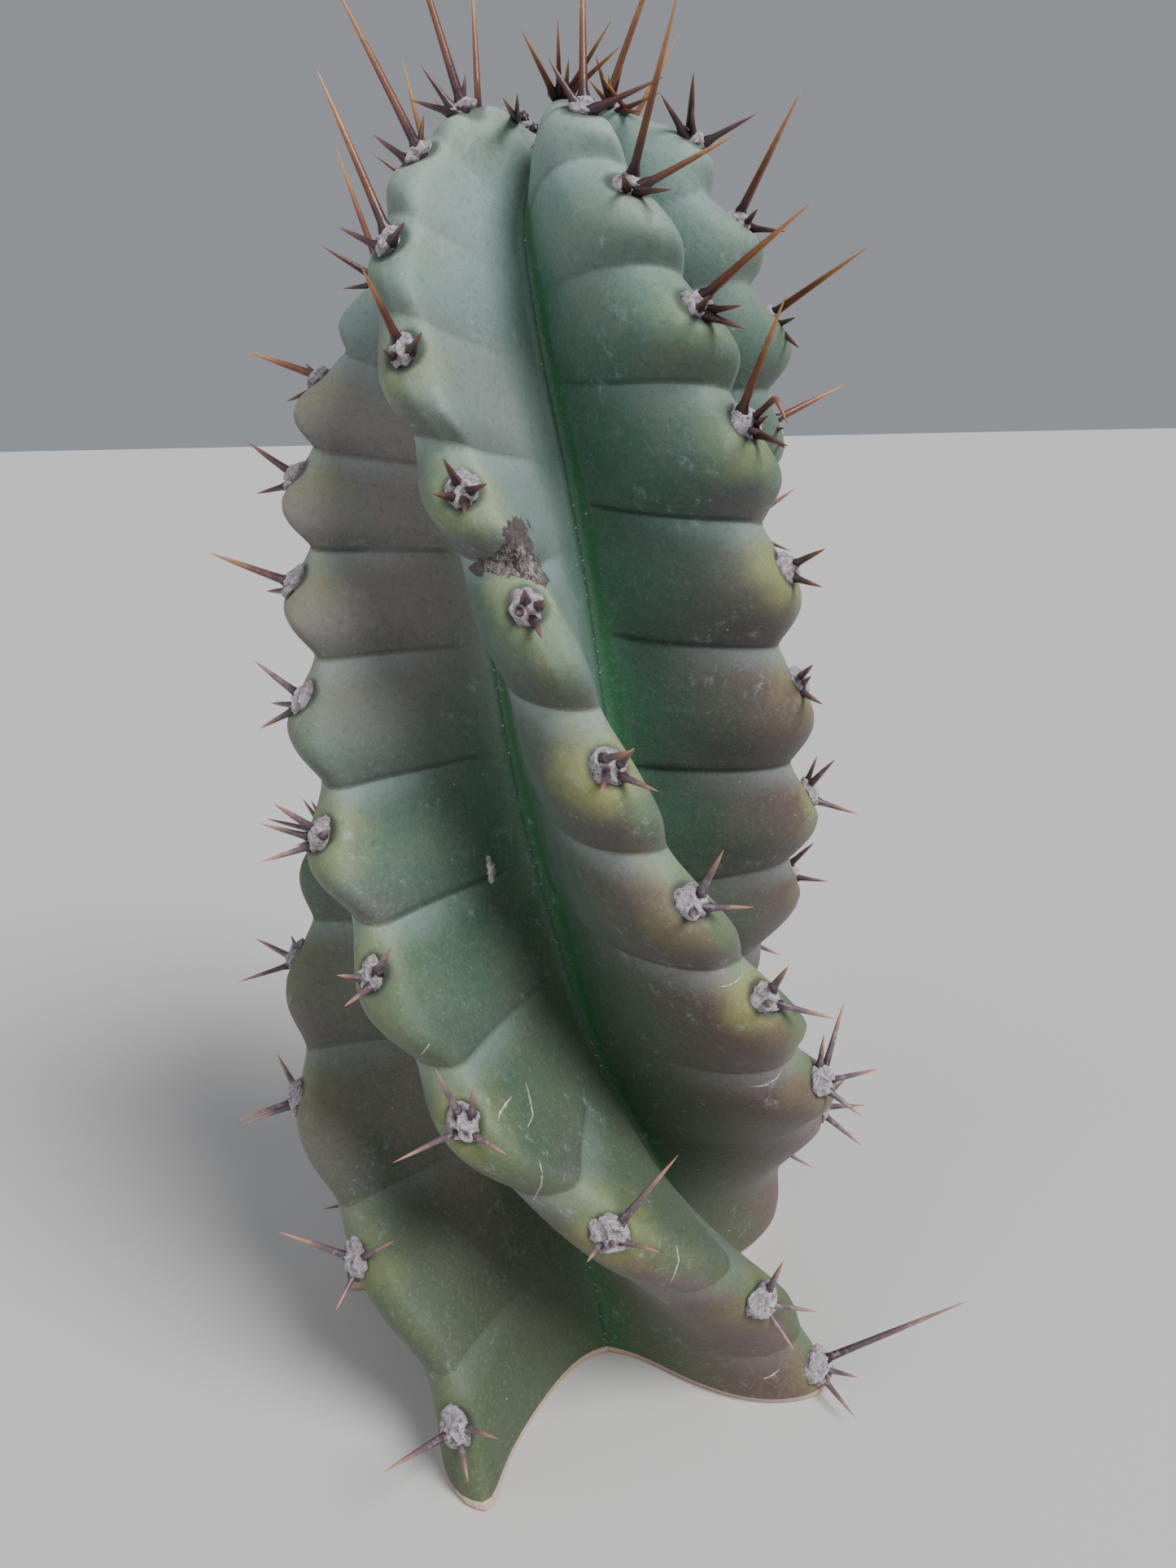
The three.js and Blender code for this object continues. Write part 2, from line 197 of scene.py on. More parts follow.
@dataclass(frozen=True)
class StemForm:
    """The form of the stem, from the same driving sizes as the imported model."""

    axis_path: Table = ((0, 0, 0), (60, -5, -1), (110, -7, 0), (160, -6, 3), (216, -3, 6))
    profile: Table = (
        (0, 51, 0, 18, 0), (15, 47, 15, 16.5, 15), (40, 47.5, 40, 15, 40), (75, 48.5, 75, 14, 75),
        (100, 46, 100, 14, 100), (130, 42, 130, 14, 130), (160, 40, 160, 14, 159),
        (175, 37, 175, 13, 172), (188, 31.5, 188, 12, 183), (198, 24, 198, 10, 190),
        (204, 17, 203, 7, 194.5), (208, 11.5, 204.5, 5, 196.5), (212, 6, 202.5, 3, 198),
        (216, 0, 199, 0, 199),
    )
    twist: Table = (
        (0, -110), (20, -121), (40, -148), (60, -177), (80, -195), (100, -212), (140, -240),
        (180, -274), (216, -304),
    )
    ribs: tuple[Rib, ...] = (
        Rib(-2, 0, 1.03, 0.05, -0.06, 0.15, 1, (0.6, 0.6),
            (11, 33, 51, 69, 88, 107, 125, 142, 158, 173, 187, 198, 206)),
        Rib(77, -1, 1, -0.05, -0.12, 0.2, 1, (0.6, 0.35),
            (5, 26, 48, 67, 87, 105, 123, 139, 154, 168, 183, 195, 204)),
        Rib(147, 3, 1, -0.07, 0, 0.1, 0.45, (0.6, 0.3),
            (17, 37, 58, 80, 98, 118, 139, 154, 171, 185, 197, 205)),
        Rib(216, 3, 0.99, 0, 0, 0.7, 1, (1, 0.6), (20, 40, 60, 79, 99, 121, 140, 161, 176, 191, 202)),
        Rib(275, 13, 1.03, -0.04, -0.06, 0.7, 1, (0.6, 0.6),
            (14, 33, 51, 70, 88, 106, 124, 142, 159, 176, 189, 200)),
    )
    crest_end: float = 216
    foot_fade: float = 35
    calm_span: float = 45
    top_levels: Numbers = (160, 190)
    foot_swirl: float = 8
    swirl_fade: float = 25
    crest_hook: float = 6
    hook_sharpness: float = 4
    half_thickness_up: Table = ((0, 7.6), (30, 8.4), (60, 7.6), (100, 6.6), (216, 6.4))
    squareness: Table = ((0, 2.8), (30, 3.2), (70, 3.7), (216, 3.7))
    notch_depth: float = 4.2
    notch_pinch: float = 0.2
    notch_above_cushion: float = 0.33
    scallop_lean: float = 1.3
    first_notch: float = -8
    last_notch: float = 220
    scallop_fade: float = 12
    calm_swell: float = 0.75
    calm_levels: Numbers = (150, 178)
    flank_starts: Numbers = (0.1, 0.5)
    crease_slant: Table = (
        (0, 0.5, 0.5), (45, 0.45, 0.45), (75, 0.15, 0.2), (95, -0.1, 0.1), (120, -0.3, 0.1),
        (140, -0.4, -0.1), (160, -0.4, -0.5), (216, -0.4, -0.6),
    )
    top_creases: float = 0.4
    slant_widens: float = 0.8
    widest_knee: float = 0.62
    seat_step: float = 1.5

    def notches(self, rib: Rib) -> Array:
        """Distances up a rib's crest of all its notches."""
        nexts = (*rib.cushions[1:], self.last_notch)
        between = [c + self.notch_above_cushion * (n - c) for c, n in zip(rib.cushions, nexts)]
        return np.array([self.first_notch, *between, self.last_notch])

    def phase(self, rib: Rib, place: Array) -> Array:
        """Share of the way from the notch below each place to the notch above it."""
        notches = self.notches(rib)
        above = np.clip(np.searchsorted(notches, place, side="right"), 1, len(notches) - 1)
        return (place - notches[above - 1]) / (notches[above] - notches[above - 1])

    def swell(self, rib: Rib, place: Array) -> Array:
        """How far a crest swells out between its notches, from 0 in a full notch to 1."""
        down = np.clip(1 - self.phase(rib, place), 0, 1)
        wave = np.sin(np.pi * down**self.scallop_lean) ** self.scallop_lean
        calm = (1 - rib.foot_notch) * np.exp(-((place / self.calm_span) ** 2))
        calm = calm + (1 - rib.top_notch) * smoothstep(place, *self.calm_levels)
        return wave + (self.calm_swell - wave) * calm

    def crest_angle(self, index: int, place: Array | float) -> Array:
        """Angle of a rib's crest round the stem in degrees."""
        rib = self.ribs[index % len(self.ribs)]
        foot = rib.foot_turn * np.exp(-np.asarray(place, float) / self.foot_fade)
        return smooth_at(self.twist, place) + rib.turn + 360 * (index // len(self.ribs)) + foot

    def crest_slope(self, place: Array) -> Array:
        """How far the crests run round the stem for each millimetre up it."""
        turned = (smooth_at(self.twist, place + 1) - smooth_at(self.twist, place - 1)) / 2
        return smooth_at(self.profile, place) * np.radians(turned)

    def half_gap(self, index: int, flank: Flank, place: Array) -> Array:
        """Half the angle between a crest and its neighbour on one side, in degrees."""
        return np.abs(self.crest_angle(index + flank.value, place) - self.crest_angle(index, place)) / 2

    def crease_shift(self, index: int, flank: Flank, across: Array, place: Array) -> Array:
        """How much further up the crest a flank point's crease starts, in millimetres.

        Args:
            index: the rib.
            flank: the rib's flank.
            across: from 0 at the crest to 1 in the valley.
            place: distances up the crest.

        Returns:
            The shift of each point.
        """
        slope, gap = self.crest_slope(place), np.radians(self.half_gap(index, flank, place))
        sideways = flank.value * across * gap * smooth_at(self.profile, place)
        slant = smooth_at(self.crease_slant, place, 1 + (flank is Flank.AFTER))
        return sideways * slant * slope / (1 + slope**2)

    def skin(self, index: int, flank: Flank, across: Array, place: Array) -> Array:
        """Points of the skin on one flank of a rib, in millimetres.

        Args:
            index: the rib.
            flank: the rib's flank.
            across: from 0 at the crest to 1 in the valley.
            place: distances up the crest.

        Returns:
            The points, with their coordinates along the last axis.
        """
        rib = self.ribs[index]
        gap = self.half_gap(index, flank, place)
        top_share = smoothstep(place, *self.top_levels)
        swollen = self.swell(rib, place + self.crease_shift(index, flank, across, place))
        lost = 1 - rib.creases[flank is Flank.AFTER] * (1 - (1 - self.top_creases) * top_share)
        swollen = swollen + (self.calm_swell - swollen) * lost * smoothstep(across, *self.flank_starts)
        stretch = rib.reach + rib.foot_reach * np.exp(-place / self.foot_fade) + rib.top_reach * top_share
        scallop_share = np.minimum(1, (self.crest_end - place) / self.scallop_fade)
        crest, high, valley, low = (smooth_at(self.profile, place, column) for column in range(1, 5))
        crest = crest * stretch - self.notch_depth * (1 - swollen) * scallop_share
        middle = np.maximum((crest + valley) / 2, 1)
        slanted = np.sqrt(1 + (self.slant_widens * self.crest_slope(place)) ** 2)
        thickness = smooth_at(self.half_thickness_up, place) * slanted
        thickness = thickness * (1 - self.notch_pinch * (1 - swollen))
        knee = np.minimum(thickness / (middle * np.radians(gap)), self.widest_knee)
        square = smooth_at(self.squareness, place)
        at_valley = 1 / (1 + (1 / knee) ** square)
        share = (1 / (1 + (across / knee) ** square) - at_valley) / (1 - at_valley)
        swirl = self.foot_swirl * np.exp(-place / self.swirl_fade) * (1 - share)
        swirl = swirl + self.crest_hook * (1 - np.clip(share, 0, 1) ** self.hook_sharpness)
        angle = np.radians(self.crest_angle(index, place) + flank.value * across * gap - swirl)
        reach = valley + (crest - valley) * share
        x, y = (smooth_at(self.axis_path, place, column) for column in (1, 2))
        x, y = x + reach * np.cos(angle), y + reach * np.sin(angle)
        return np.stack([x, y, low + (high - low) * share], axis=-1)

    def seat_at(self, index: int, place: float) -> Seat:
        """Seat of the cushion at a distance up a rib's crest."""
        steps = np.array([place - self.seat_step, place, place + self.seat_step])
        below, origin, above = self.skin(index, Flank.AFTER, np.zeros(3), steps)
        along = unit(above - below)
        angle = math.radians(float(self.crest_angle(index, place)))
        out = np.array([math.cos(angle), math.sin(angle), 0.0])
        out = unit(out - along * np.dot(out, along))
        return Seat(origin, along, np.cross(along, out), out)


class Value:
    """An output of a shader node, which can be added, taken away and multiplied."""

    def __init__(self, board: "NodeBoard", socket: bpy.types.NodeSocket) -> None:
        """Keep the output and the nodes that it belongs to."""
        self.board, self.socket = board, socket

    def __add__(self, other: object) -> "Value":
        """Two values added."""
        return self.board.math("ADD", self, other)

    def __sub__(self, other: object) -> "Value":
        """The second value taken from the first."""
        return self.board.math("SUBTRACT", self, other)

    def __mul__(self, other: object) -> "Value":
        """Two values multiplied."""
        return self.board.math("MULTIPLY", self, other)


class NodeBoard:
    """A new material, its shader nodes and the values that were given a name."""

    def __init__(self, name: str) -> None:
        """Start a material with its surface shader."""
        self.material = bpy.data.materials.new(name)
        self.material.use_nodes = True
        self.tree = self.material.node_tree
        self.values: dict[str, Value] = {}
        self.point = self.add("TexCoord", "Object")

    def add(self, kind: str, output: str | int, inputs: dict | None = None, **options: object) -> Value:
        """Add one node.

        Args:
            kind: the node's type.
            output: the output that is wanted.
            inputs: values or plain numbers for its inputs, by name or number.
            options: the node's own settings.

        Returns:
            The output.
        """
        node = self.tree.nodes.new("ShaderNode" + kind)
        for name, value in options.items():
            setattr(node, name, value)
        for name, value in (inputs or {}).items():
            self.plug(node.inputs[name], value)
        return Value(self, node.outputs[output])

    def plug(self, socket: bpy.types.NodeSocket, value: object) -> None:
        """Link a value into an input, or set the input to a plain number or colour."""
        if isinstance(value, Value):
            self.tree.links.new(value.socket, socket)
        elif isinstance(value, tuple) and socket.type == "RGBA":
            socket.default_value = (*value, 1.0)
        else:
            socket.default_value = value

    def math(self, operation: str, first: object, second: object = 0.0) -> Value:
        """The result of one operation on two numbers."""
        return self.add("Math", 0, {0: first, 1: second}, operation=operation)

    def scaled(self, height: float) -> Value:
        """The point of the surface with its height scaled."""
        return self.add("Mapping", "Vector", {"Vector": self.point, "Scale": (1.0, 1.0, height)})

    def noise(self, size: float, detail: float, rough: float, height: float = 1) -> Value:
        """Soft noise near 0.5.

        Args:
            size: the size of its blots in millimetres.
            detail: how many finer layers it has.
            rough: how strong the finer layers are.
            height: less than 1 draws the blots out upwards.

        Returns:
            The noise.
        """
        point = self.point if height == 1 else self.scaled(height)
        inputs = {"Vector": point, "Scale": 1 / (size * MM), "Detail": detail, "Roughness": rough}
        return self.add("TexNoise", "Fac", inputs)

    def read(self, source: str, *numbers: float) -> Value:
        """Noise or dots with their numbers, a named value, an axis or a number that the mesh holds."""
        if source == "noise":
            return self.noise(*numbers)
        if source == "dots":
            inputs = {"Vector": self.point, "Scale": 1 / (numbers[0] * MM)}
            return self.add("TexVoronoi", "Distance", inputs)
        if source not in self.values and source in "XYZ":
            self.values[source] = self.add("SeparateXYZ", source, {0: self.point})
        elif source not in self.values:
            self.values[source] = self.add("Attribute", "Fac", attribute_name=source)
        return self.values[source]

    def band(self, source: str, *numbers: float) -> Value:
        """A source cut to a smooth band.

        Args:
            source: what to read.
            numbers: three numbers of noise or one of dots, where that is the source. Then where the band
                starts, where it is full, how high it is there and how high elsewhere. Left out, the last
                two are 1 and 0, and with none of the four the source stays as it is.

        Returns:
            The band.
        """
        own = {"noise": 3, "dots": 1}.get(source, 0)
        value, edges = self.read(source, *numbers[:own]), numbers[own:]
        if not edges:
            return value
        start, full, top, rest = edges + (1.0, 0.0)[len(edges) - 2:]
        ends = (start, full, rest, top) if start < full else (full, start, top, rest)
        inputs = {"Value": value, **dict(zip(("From Min", "From Max", "To Min", "To Max"), ends))}
        return self.add("MapRange", "Result", inputs, interpolation_type="SMOOTHSTEP")

    def share(self, *bands: Band) -> Value:
        """The product of bands."""
        first, *others = (self.band(*band) for band in bands)
        return math.prod(others, start=first)

    def washed(self, colour: Value | Colour, washes: Washes) -> Value:
        """Lay tints over a colour.

        Args:
            colour: the colour below.
            washes: each tint, or the name of a value, with the bands that it lies in.

        Returns:
            The colour with its tints.
        """
        for tint, *bands in washes:
            tint = self.values[tint] if isinstance(tint, str) else tint
            colour = self.add("Mix", 2, {0: self.share(*bands), 6: colour, 7: tint},
                              data_type="RGBA", blend_type="MIX", clamp_factor=True)
        return colour

    def relief(self, rows: Bands) -> Value:
        """The normal bent by rows of relief, each with its noise or the name of a value, and its depth."""
        below: dict[str, Value] = {}
        for *source, depth in rows:
            height = self.values[source[0]] if isinstance(source[0], str) else self.noise(*source)
            below["Normal"] = self.add("Bump", "Normal", {"Height": height, "Distance": depth * MM,
                                                          "Strength": 1.0, **below})
        return below["Normal"]

    def finish(self, **values: object) -> bpy.types.Material:
        """Plug the shader's sockets, named with low lines for spaces, and give the material."""
        for name, value in values.items():
            self.plug(self.tree.nodes["Principled BSDF"].inputs[name.replace("_", " ")], value)
        return self.material


@dataclass(frozen=True)
class Finish:
    """A finish in tables: a base colour, the washes over it, rows of relief, and its gloss.

    A wash is a tint and the bands that it lies in. A band reads an axis in metres, a number that the mesh
    holds, noise, dots, or a value that prepare named. sheen is the strength and roughness of the sheen.
    """

    name: str
    base: Colour
    washes: Washes
    reliefs: Bands
    roughness: float
    gloss: float
    sheen: Numbers = (0.0, 0.5)

    def prepare(self, board: NodeBoard) -> dict[str, object]:
        """Name the values that the tables read, and give the shader's inputs that the tables don't."""
        return {}

    def material(self) -> bpy.types.Material:
        """The finished material."""
        board = NodeBoard(self.name)
        inputs = {"Roughness": self.roughness, **self.prepare(board)}
        colour, normal = board.washed(self.base, self.washes), board.relief(self.reliefs)
        return board.finish(Base_Color=colour, Normal=normal, Specular_IOR_Level=self.gloss,
                            Sheen_Weight=self.sheen[0], Sheen_Roughness=self.sheen[1], **inputs)


@dataclass(frozen=True)
class SkinFinish(Finish):
    """Waxy skin: grey and blue greens, pale ledges, deep green valleys and a corky scar, with painted shade,
    highlights and reflections.
    """

    # painted shade: darker green towards the foot
    foot_shade_green: Colour = (0.050, 0.066, 0.028)
    grey_green: Colour = (0.090, 0.138, 0.106)
    # pale bloom of the young top with a painted highlight over it
    top_highlight_mint: Colour = (0.360, 0.480, 0.460)
    valley_green: Colour = (0.012, 0.105, 0.030)
    crest_yellow: Colour = (0.290, 0.315, 0.085)
    # painted shade under each bump
    chin_shade_grey: Colour = (0.045, 0.055, 0.052)
    # painted reflection of a purple floor
    chin_mauve_reflection: Colour = (0.125, 0.072, 0.100)
    # warm brown of the left flanks: painted reflection of a warm surround, with some brown of the skin
    brown_and_warm_bounce: Colour = (0.205, 0.160, 0.146)
    shade_brown: Colour = (0.098, 0.046, 0.044)
    # painted light: paler grey on the lit flanks
    lit_flank_grey: Colour = (0.270, 0.345, 0.355)
    # waxy bloom, also used as painted highlight on the ledges
    bloom_and_highlight: Colour = (0.320, 0.430, 0.430)
    speck: Colour = (0.300, 0.400, 0.350)
    # painted shade in creases, valleys and round the cushions; also the skin's fine dark grain
    crease_shade_and_grain: Colour = (0.020, 0.030, 0.026)
    cork: Colour = (0.125, 0.090, 0.086)
    cork_dark: Colour = (0.030, 0.018, 0.020)
    cork_pale: Colour = (0.520, 0.460, 0.460)
    near: Bands = (("crest_mm", 30, 4), ("calm",))
    leftward: Bands = (
        ("noise", 30, 3, 0.5, 0.26, 0.50), ("X", 0.0, -0.026), ("Y", -0.036, -0.018), ("Z", 0.180, 0.165),
    )
    patchy: Band = ("noise", 26, 2, 0.5, 0.38, 0.60)
    name: str = "waxy_skin"
    base: Colour = (0.040, 0.110, 0.078)
    washes: Washes = (
        (grey_green, ("noise", 14, 5, 0.6, 0.32, 0.68)),
        # painted shade, darker towards the foot
        (foot_shade_green, ("Z", 0.145, 0.020, 0.88)),
        (shade_brown, ("side", 1, -1), ("X", -0.03, 0.02), ("Z", 0.165, 0.120), ("crest_mm", 34, 6, 0.85)),
        # paler towards the top: bloom with a painted highlight
        (top_highlight_mint, ("Z", 0.165, 0.215, 0.55)),
        # painted light on the left flanks that face the key light, at mid height
        (lit_flank_grey, ("Z", 0.105, 0.155), ("X", 0.020, 0.0), ("side", -1, 1, 0.38)),
        # painted warm reflection with some brown of the skin, on the upper left flanks and lower down
        (brown_and_warm_bounce, ("Z", 0.100, 0.138, 0.8), *leftward),
        (brown_and_warm_bounce, ("Z", 0.090, 0.060, 0.5), *leftward),
        # pale ledge below each crease: bloom with a painted highlight where the ledge faces up
        (bloom_and_highlight, ("soft_phase", 0.70, 1.0, 0.38), ("valley_mm", 3, 14), *near),
        (crest_yellow, ("yellow",)),
        # painted shade on the underside of each bump, above its crease
        (chin_shade_grey, ("soft_phase", 0.42, 0.05, 0.60), *near),
        # painted reflection: mauve on the underside of each bump from a purple floor
        (chin_mauve_reflection, ("soft_phase", 0.42, 0.05, 0.45), *near, patchy, ("crest_mm", 16, 2)),
        (valley_green, ("soft_valley", 11, 2), ("side", 1, -1, 0.45, 0.20)),
        (valley_green, ("valley_edge", 3.8, 3.0, 0.7), ("side", 1, -1)),
        (valley_green, ("valley_edge", 1.6, 0.4, 0.6)),
        # painted shade down the bottom of each valley
        (crease_shade_and_grain, ("valley_mm", 0.55, 0.1, 0.6)),
        (cork_pale, ("dots", 0.9, 0.20, 0.08), ("valley_mm", 0.6, 0.2)),
        # rubbed patches of bloom
        (bloom_and_highlight, ("noise", 2.8, 6, 0.8, 0.54, 0.70), ("noise", 13, 2, 0.5, 0.48, 0.60, 0.45)),
        (speck, ("noise", 0.60, 4, 0.75, 0.50, 0.78, 0.26)),
        # fine dark grain of the skin
        (crease_shade_and_grain, ("noise", 0.9, 4, 0.75, 0.52, 0.26, 0.32)),
        (cork_pale, ("dots", 3.4, 0.075, 0.03, 0.6), ("noise", 8, 2, 0.5, 0.52, 0.60)),
        # painted shade along each crease
        (crease_shade_and_grain, ("soft_crease", 0.70, 0.15, 0.70), ("crease_line",)),
        # painted shade in the ring round each cushion
        (crease_shade_and_grain, ("cushion_mm", 3.9, 2.8, 0.75)),
        ("scar_colour", ("corky",)),
    )
    reliefs: Bands = ((0.45, 3, 0.6, 0.035), (2.6, 4, 0.65, 0.14), ("scar_relief", 1.4))
    roughness: float = 0.52
    gloss: float = 0.42
    sheen: Numbers = (0.08, 0.5)
    wander: Numbers = (9, 4, 0.6)
    wandering: tuple[tuple[str, str, float], ...] = (
        ("soft_phase", "phase", 0.16), ("soft_crest", "crest_mm", 6), ("soft_crease", "crease_mm", 0.5),
        ("soft_valley", "valley_mm", 6), ("valley_edge", "valley_mm", 1.6),
        ("soft_cushion", "cushion_mm", 12),
    )
    halo: Bands = (("soft_cushion", 11, 3), (*patchy, 0.57, 0.15))
    yellow_line: Band = ("soft_crest", 6.0, 0.5, 0.22)
    yellow_levels: Bands = (("Z", 0.010, 0.085, 0.65), ("Z", 0.185, 0.135), ("X", -0.048, -0.022))
    yellow_elsewhere: float = 0.35
    fibre: Numbers = (0.7, 5, 0.75, 0.28)
    ragged: Numbers = (1.5, 6, 0.8, 0.5)
    ragged_strength: float = 2.0
    scar_bands: Bands = (("torn_scar", 0.26, 0.36), ("scar", 0.01, 0.05))
    scar_washes: Washes = (
        (cork_pale, ("fibre", 0.46, 0.60), ("scar_pale", 0.0, 0.6)),
        (cork_dark, ("fibre", 0.48, 0.40, 0.75)),
    )
    dull_noise: Numbers = (1.2, 3, 0.5)
    dull_spread: float = 0.2
    scar_dull: float = 0.25
    depth_weight: float = 0.05
    depth_scale: float = 0.002
    depth_radius: Numbers = (0.4, 1.0, 0.3)

    def prepare(self, board: NodeBoard) -> dict[str, object]:
        """Name the wandering distances, the yellow of the crests and the scar, and give the skin's depth."""
        values, wander = board.values, board.noise(*self.wander) - NOISE_MIDDLE
        for name, source, reach in self.wandering:
            values[name] = board.read(source) + wander * reach
        yellow = board.math("MAXIMUM", board.share(*self.halo), board.band(*self.yellow_line))
        values["yellow"] = yellow * (board.share(*self.yellow_levels) + self.yellow_elsewhere)
        values["fibre"] = board.noise(*self.fibre)
        torn = (board.noise(*self.ragged) - NOISE_MIDDLE) * self.ragged_strength
        values["torn_scar"] = board.read("scar") + torn
        values["corky"] = board.share(*self.scar_bands)
        values["scar_relief"] = values["fibre"] * values["corky"]
        values["scar_colour"] = board.washed(self.cork, self.scar_washes)
        dull = board.noise(*self.dull_noise) * self.dull_spread + self.roughness
        return {"Roughness": dull + values["corky"] * self.scar_dull, "Subsurface_Weight": self.depth_weight,
                "Subsurface_Radius": self.depth_radius, "Subsurface_Scale": self.depth_scale}


@dataclass(frozen=True)
class CutFinish(Finish):
    """Dried cut: pinkish-tan callus, with the pale ring of the wood inside it."""

    rim: Colour = (0.470, 0.330, 0.270)
    dried: Colour = (0.250, 0.185, 0.120)
    ring: Colour = (0.520, 0.450, 0.310)
    ring_radius: float = 13
    name: str = "dried_cut"
    base: Colour = (0.400, 0.330, 0.210)
    washes: Washes = (
        (dried, ("noise", 5, 4, 0.6, 0.4, 0.65)), (ring, ("off_ring", 0.002, 0.0006, 0.8)),
        (rim, ("edge_mm", 3.2, 1.4)), (ring, ("noise", 0.9, 3, 0.7, 0.5, 0.7, 0.45)),
    )
    reliefs: Bands = ((1.6, 4, 0.65, 0.35),)
    roughness: float = 0.8
    gloss: float = 0.25

    def prepare(self, board: NodeBoard) -> dict[str, object]:
        """Name the distance from the ring of the wood, in metres."""
        radius = board.add("VectorMath", "Value", {0: board.scaled(0.0)}, operation="LENGTH")
        board.values["off_ring"] = board.math("ABSOLUTE", radius - self.ring_radius * MM)
        return {}


@dataclass(frozen=True)
class FeltFinish(Finish):
    """Grey felt of the cushions, a little pink, paler on its ridges, with painted shade in its folds, pits
    and hollows.
    """

    pink: Colour = (0.460, 0.300, 0.305)
    ridge: Colour = (0.760, 0.720, 0.760)
    shade: Colour = (0.110, 0.080, 0.110)
    # painted shade in the pits round the spines
    hollow: Colour = (0.060, 0.036, 0.042)
    name: str = "cushion_felt"
    base: Colour = (0.400, 0.365, 0.410)
    washes: Washes = (
        (pink, ("noise", 2.4, 3, 0.6, 0.42, 0.66, 0.8)), (ridge, ("noise", 0.7, 4, 0.8, 0.44, 0.62, 0.75)),
        (ridge, ("ridge", 0.25, 0.9, 0.7)), (shade, ("noise", 0.8, 6, 0.85, 0.50, 0.39, 0.85)),
        # painted shade in the pits where the spines leave the felt
        (hollow, ("hollow", 0.40, 0.95, 0.60)),
    )
    reliefs: Bands = ((0.9, 5, 0.8, 1.0), (0.22, 3, 0.7, 0.12))
    roughness: float = 0.92
    gloss: float = 0.2
    sheen: Numbers = (0.25, 0.6)


@dataclass(frozen=True)
class SpineFinish(Finish):
    """Spines from a dark swollen base to a golden tip, grey with a tan tip when old."""

    shafts: tuple[Colour, ...] = ((0.050, 0.020, 0.022), (0.150, 0.046, 0.020), (0.115, 0.078, 0.095))
    tips: tuple[Colour, ...] = ((0.170, 0.075, 0.055), (0.500, 0.235, 0.080), (0.440, 0.225, 0.150))
    worn: Colour = (0.300, 0.260, 0.280)
    streaks: Numbers = (1.4, 3, 0.6)
    blur: float = 0.35
    name: str = "horny_spine"
    base: Colour = (0.030, 0.014, 0.018)
    washes: Washes = (
        ("shaft", ("blurred", 0.04, 0.32)), ("tip", ("blurred", 0.36, 0.95)),
        (worn, ("streak", 0.02, 0.16, 0.5), ("age",)),
    )
    reliefs: Bands = ((0.5, 2, 0.6, 0.05),)
    roughness: float = 0.38
    gloss: float = 0.5

    def prepare(self, board: NodeBoard) -> dict[str, object]:
        """Name the streaks and the colours of shaft and tip, each for short, golden and old spines."""
        streak = board.values["streak"] = board.noise(*self.streaks) - NOISE_MIDDLE
        board.values["blurred"] = board.read("along") + streak * self.blur
        for name, (short, golden, old) in (("shaft", self.shafts), ("tip", self.tips)):
            board.values[name] = board.washed(short, ((golden, ("gold",)), (old, ("age",))))
        return {}


@dataclass(frozen=True)
class CorkFinish(Finish):
    """Pale, dry cork of the healed cracks."""

    pale: Colour = (0.520, 0.500, 0.480)
    name: str = "healed_cork"
    base: Colour = (0.240, 0.240, 0.200)
    washes: Washes = ((pale, ("noise", 0.8, 4, 0.7, 0.40, 0.62)),)
    reliefs: Bands = ((0.3, 3, 0.7, 0.06),)
    roughness: float = 0.85
    gloss: float = 0.2


@dataclass(frozen=True)
class PhotoCamera:
    """The camera that the photo was taken with. Pixels are the photo's own, counted from its top left."""

    place: tuple[float, float, float] = (-0.6, -196, 166.1)
    tilt: float = 18
    roll: float = -1.16
    focal_pixels: float = 1500
    image: tuple[float, float] = (1445, 1927)
    sensor: float = 36
    nearest: float = 0.01

    def turn(self) -> Matrix:
        """The camera's turn in the frame."""
        pitch = Matrix.Rotation(math.radians(90 - self.tilt), 3, "X")
        return pitch @ Matrix.Rotation(math.radians(self.roll), 3, "Z")

    def pixel_of(self, points: Array) -> tuple[Array, Array]:
        """The pixels that points show in, and their depths in millimetres."""
        local = (points - np.array(self.place)) @ np.array(self.turn())
        depth = -local[..., 2]
        aside = self.focal_pixels * local[..., :2] * np.array([1, -1]) / depth[..., None]
        return np.array(self.image) / 2 + aside, depth

    def point_at(self, pixel: Array, depth: float) -> Array:
        """The point that shows in a pixel at a depth in millimetres."""
        aside = (pixel - np.array(self.image) / 2) / self.focal_pixels * depth
        return np.array(self.place) + np.array(self.turn()) @ np.array([aside[0], -aside[1], -depth])

    def build(self) -> None:
        """Set the camera where the photo was taken from."""
        data = bpy.data.cameras.new("photo_camera")
        data.sensor_fit = "VERTICAL"
        data.sensor_height = self.sensor
        data.lens = self.focal_pixels / self.image[1] * self.sensor
        data.clip_start = self.nearest
        camera = bpy.data.objects.new("photo_camera", data)
        bpy.context.scene.collection.objects.link(camera)
        camera.matrix_world = Matrix.Translation(Vector(self.place) * MM) @ self.turn().to_4x4()
        bpy.context.scene.camera = camera


def select_none() -> None:
    """Deselect every object."""
    bpy.ops.object.select_all(action="DESELECT")


def named(piece: Thing, name: str) -> Thing:
    """Name a piece and its mesh."""
    piece.name = piece.data.name = name
    return piece


def points_of(mesh: bpy.types.Mesh) -> Array:
    """A mesh's points as an array with a row for each."""
    flat = np.zeros(len(mesh.vertices) * 3)
    mesh.vertices.foreach_get("co", flat)
    return flat.reshape(-1, 3)


def move_points(mesh: bpy.types.Mesh, points: Array) -> None:
    """Give a mesh's points new places, in millimetres."""
    mesh.vertices.foreach_set("co", (points * MM).astype(np.float32).ravel())
    mesh.update()


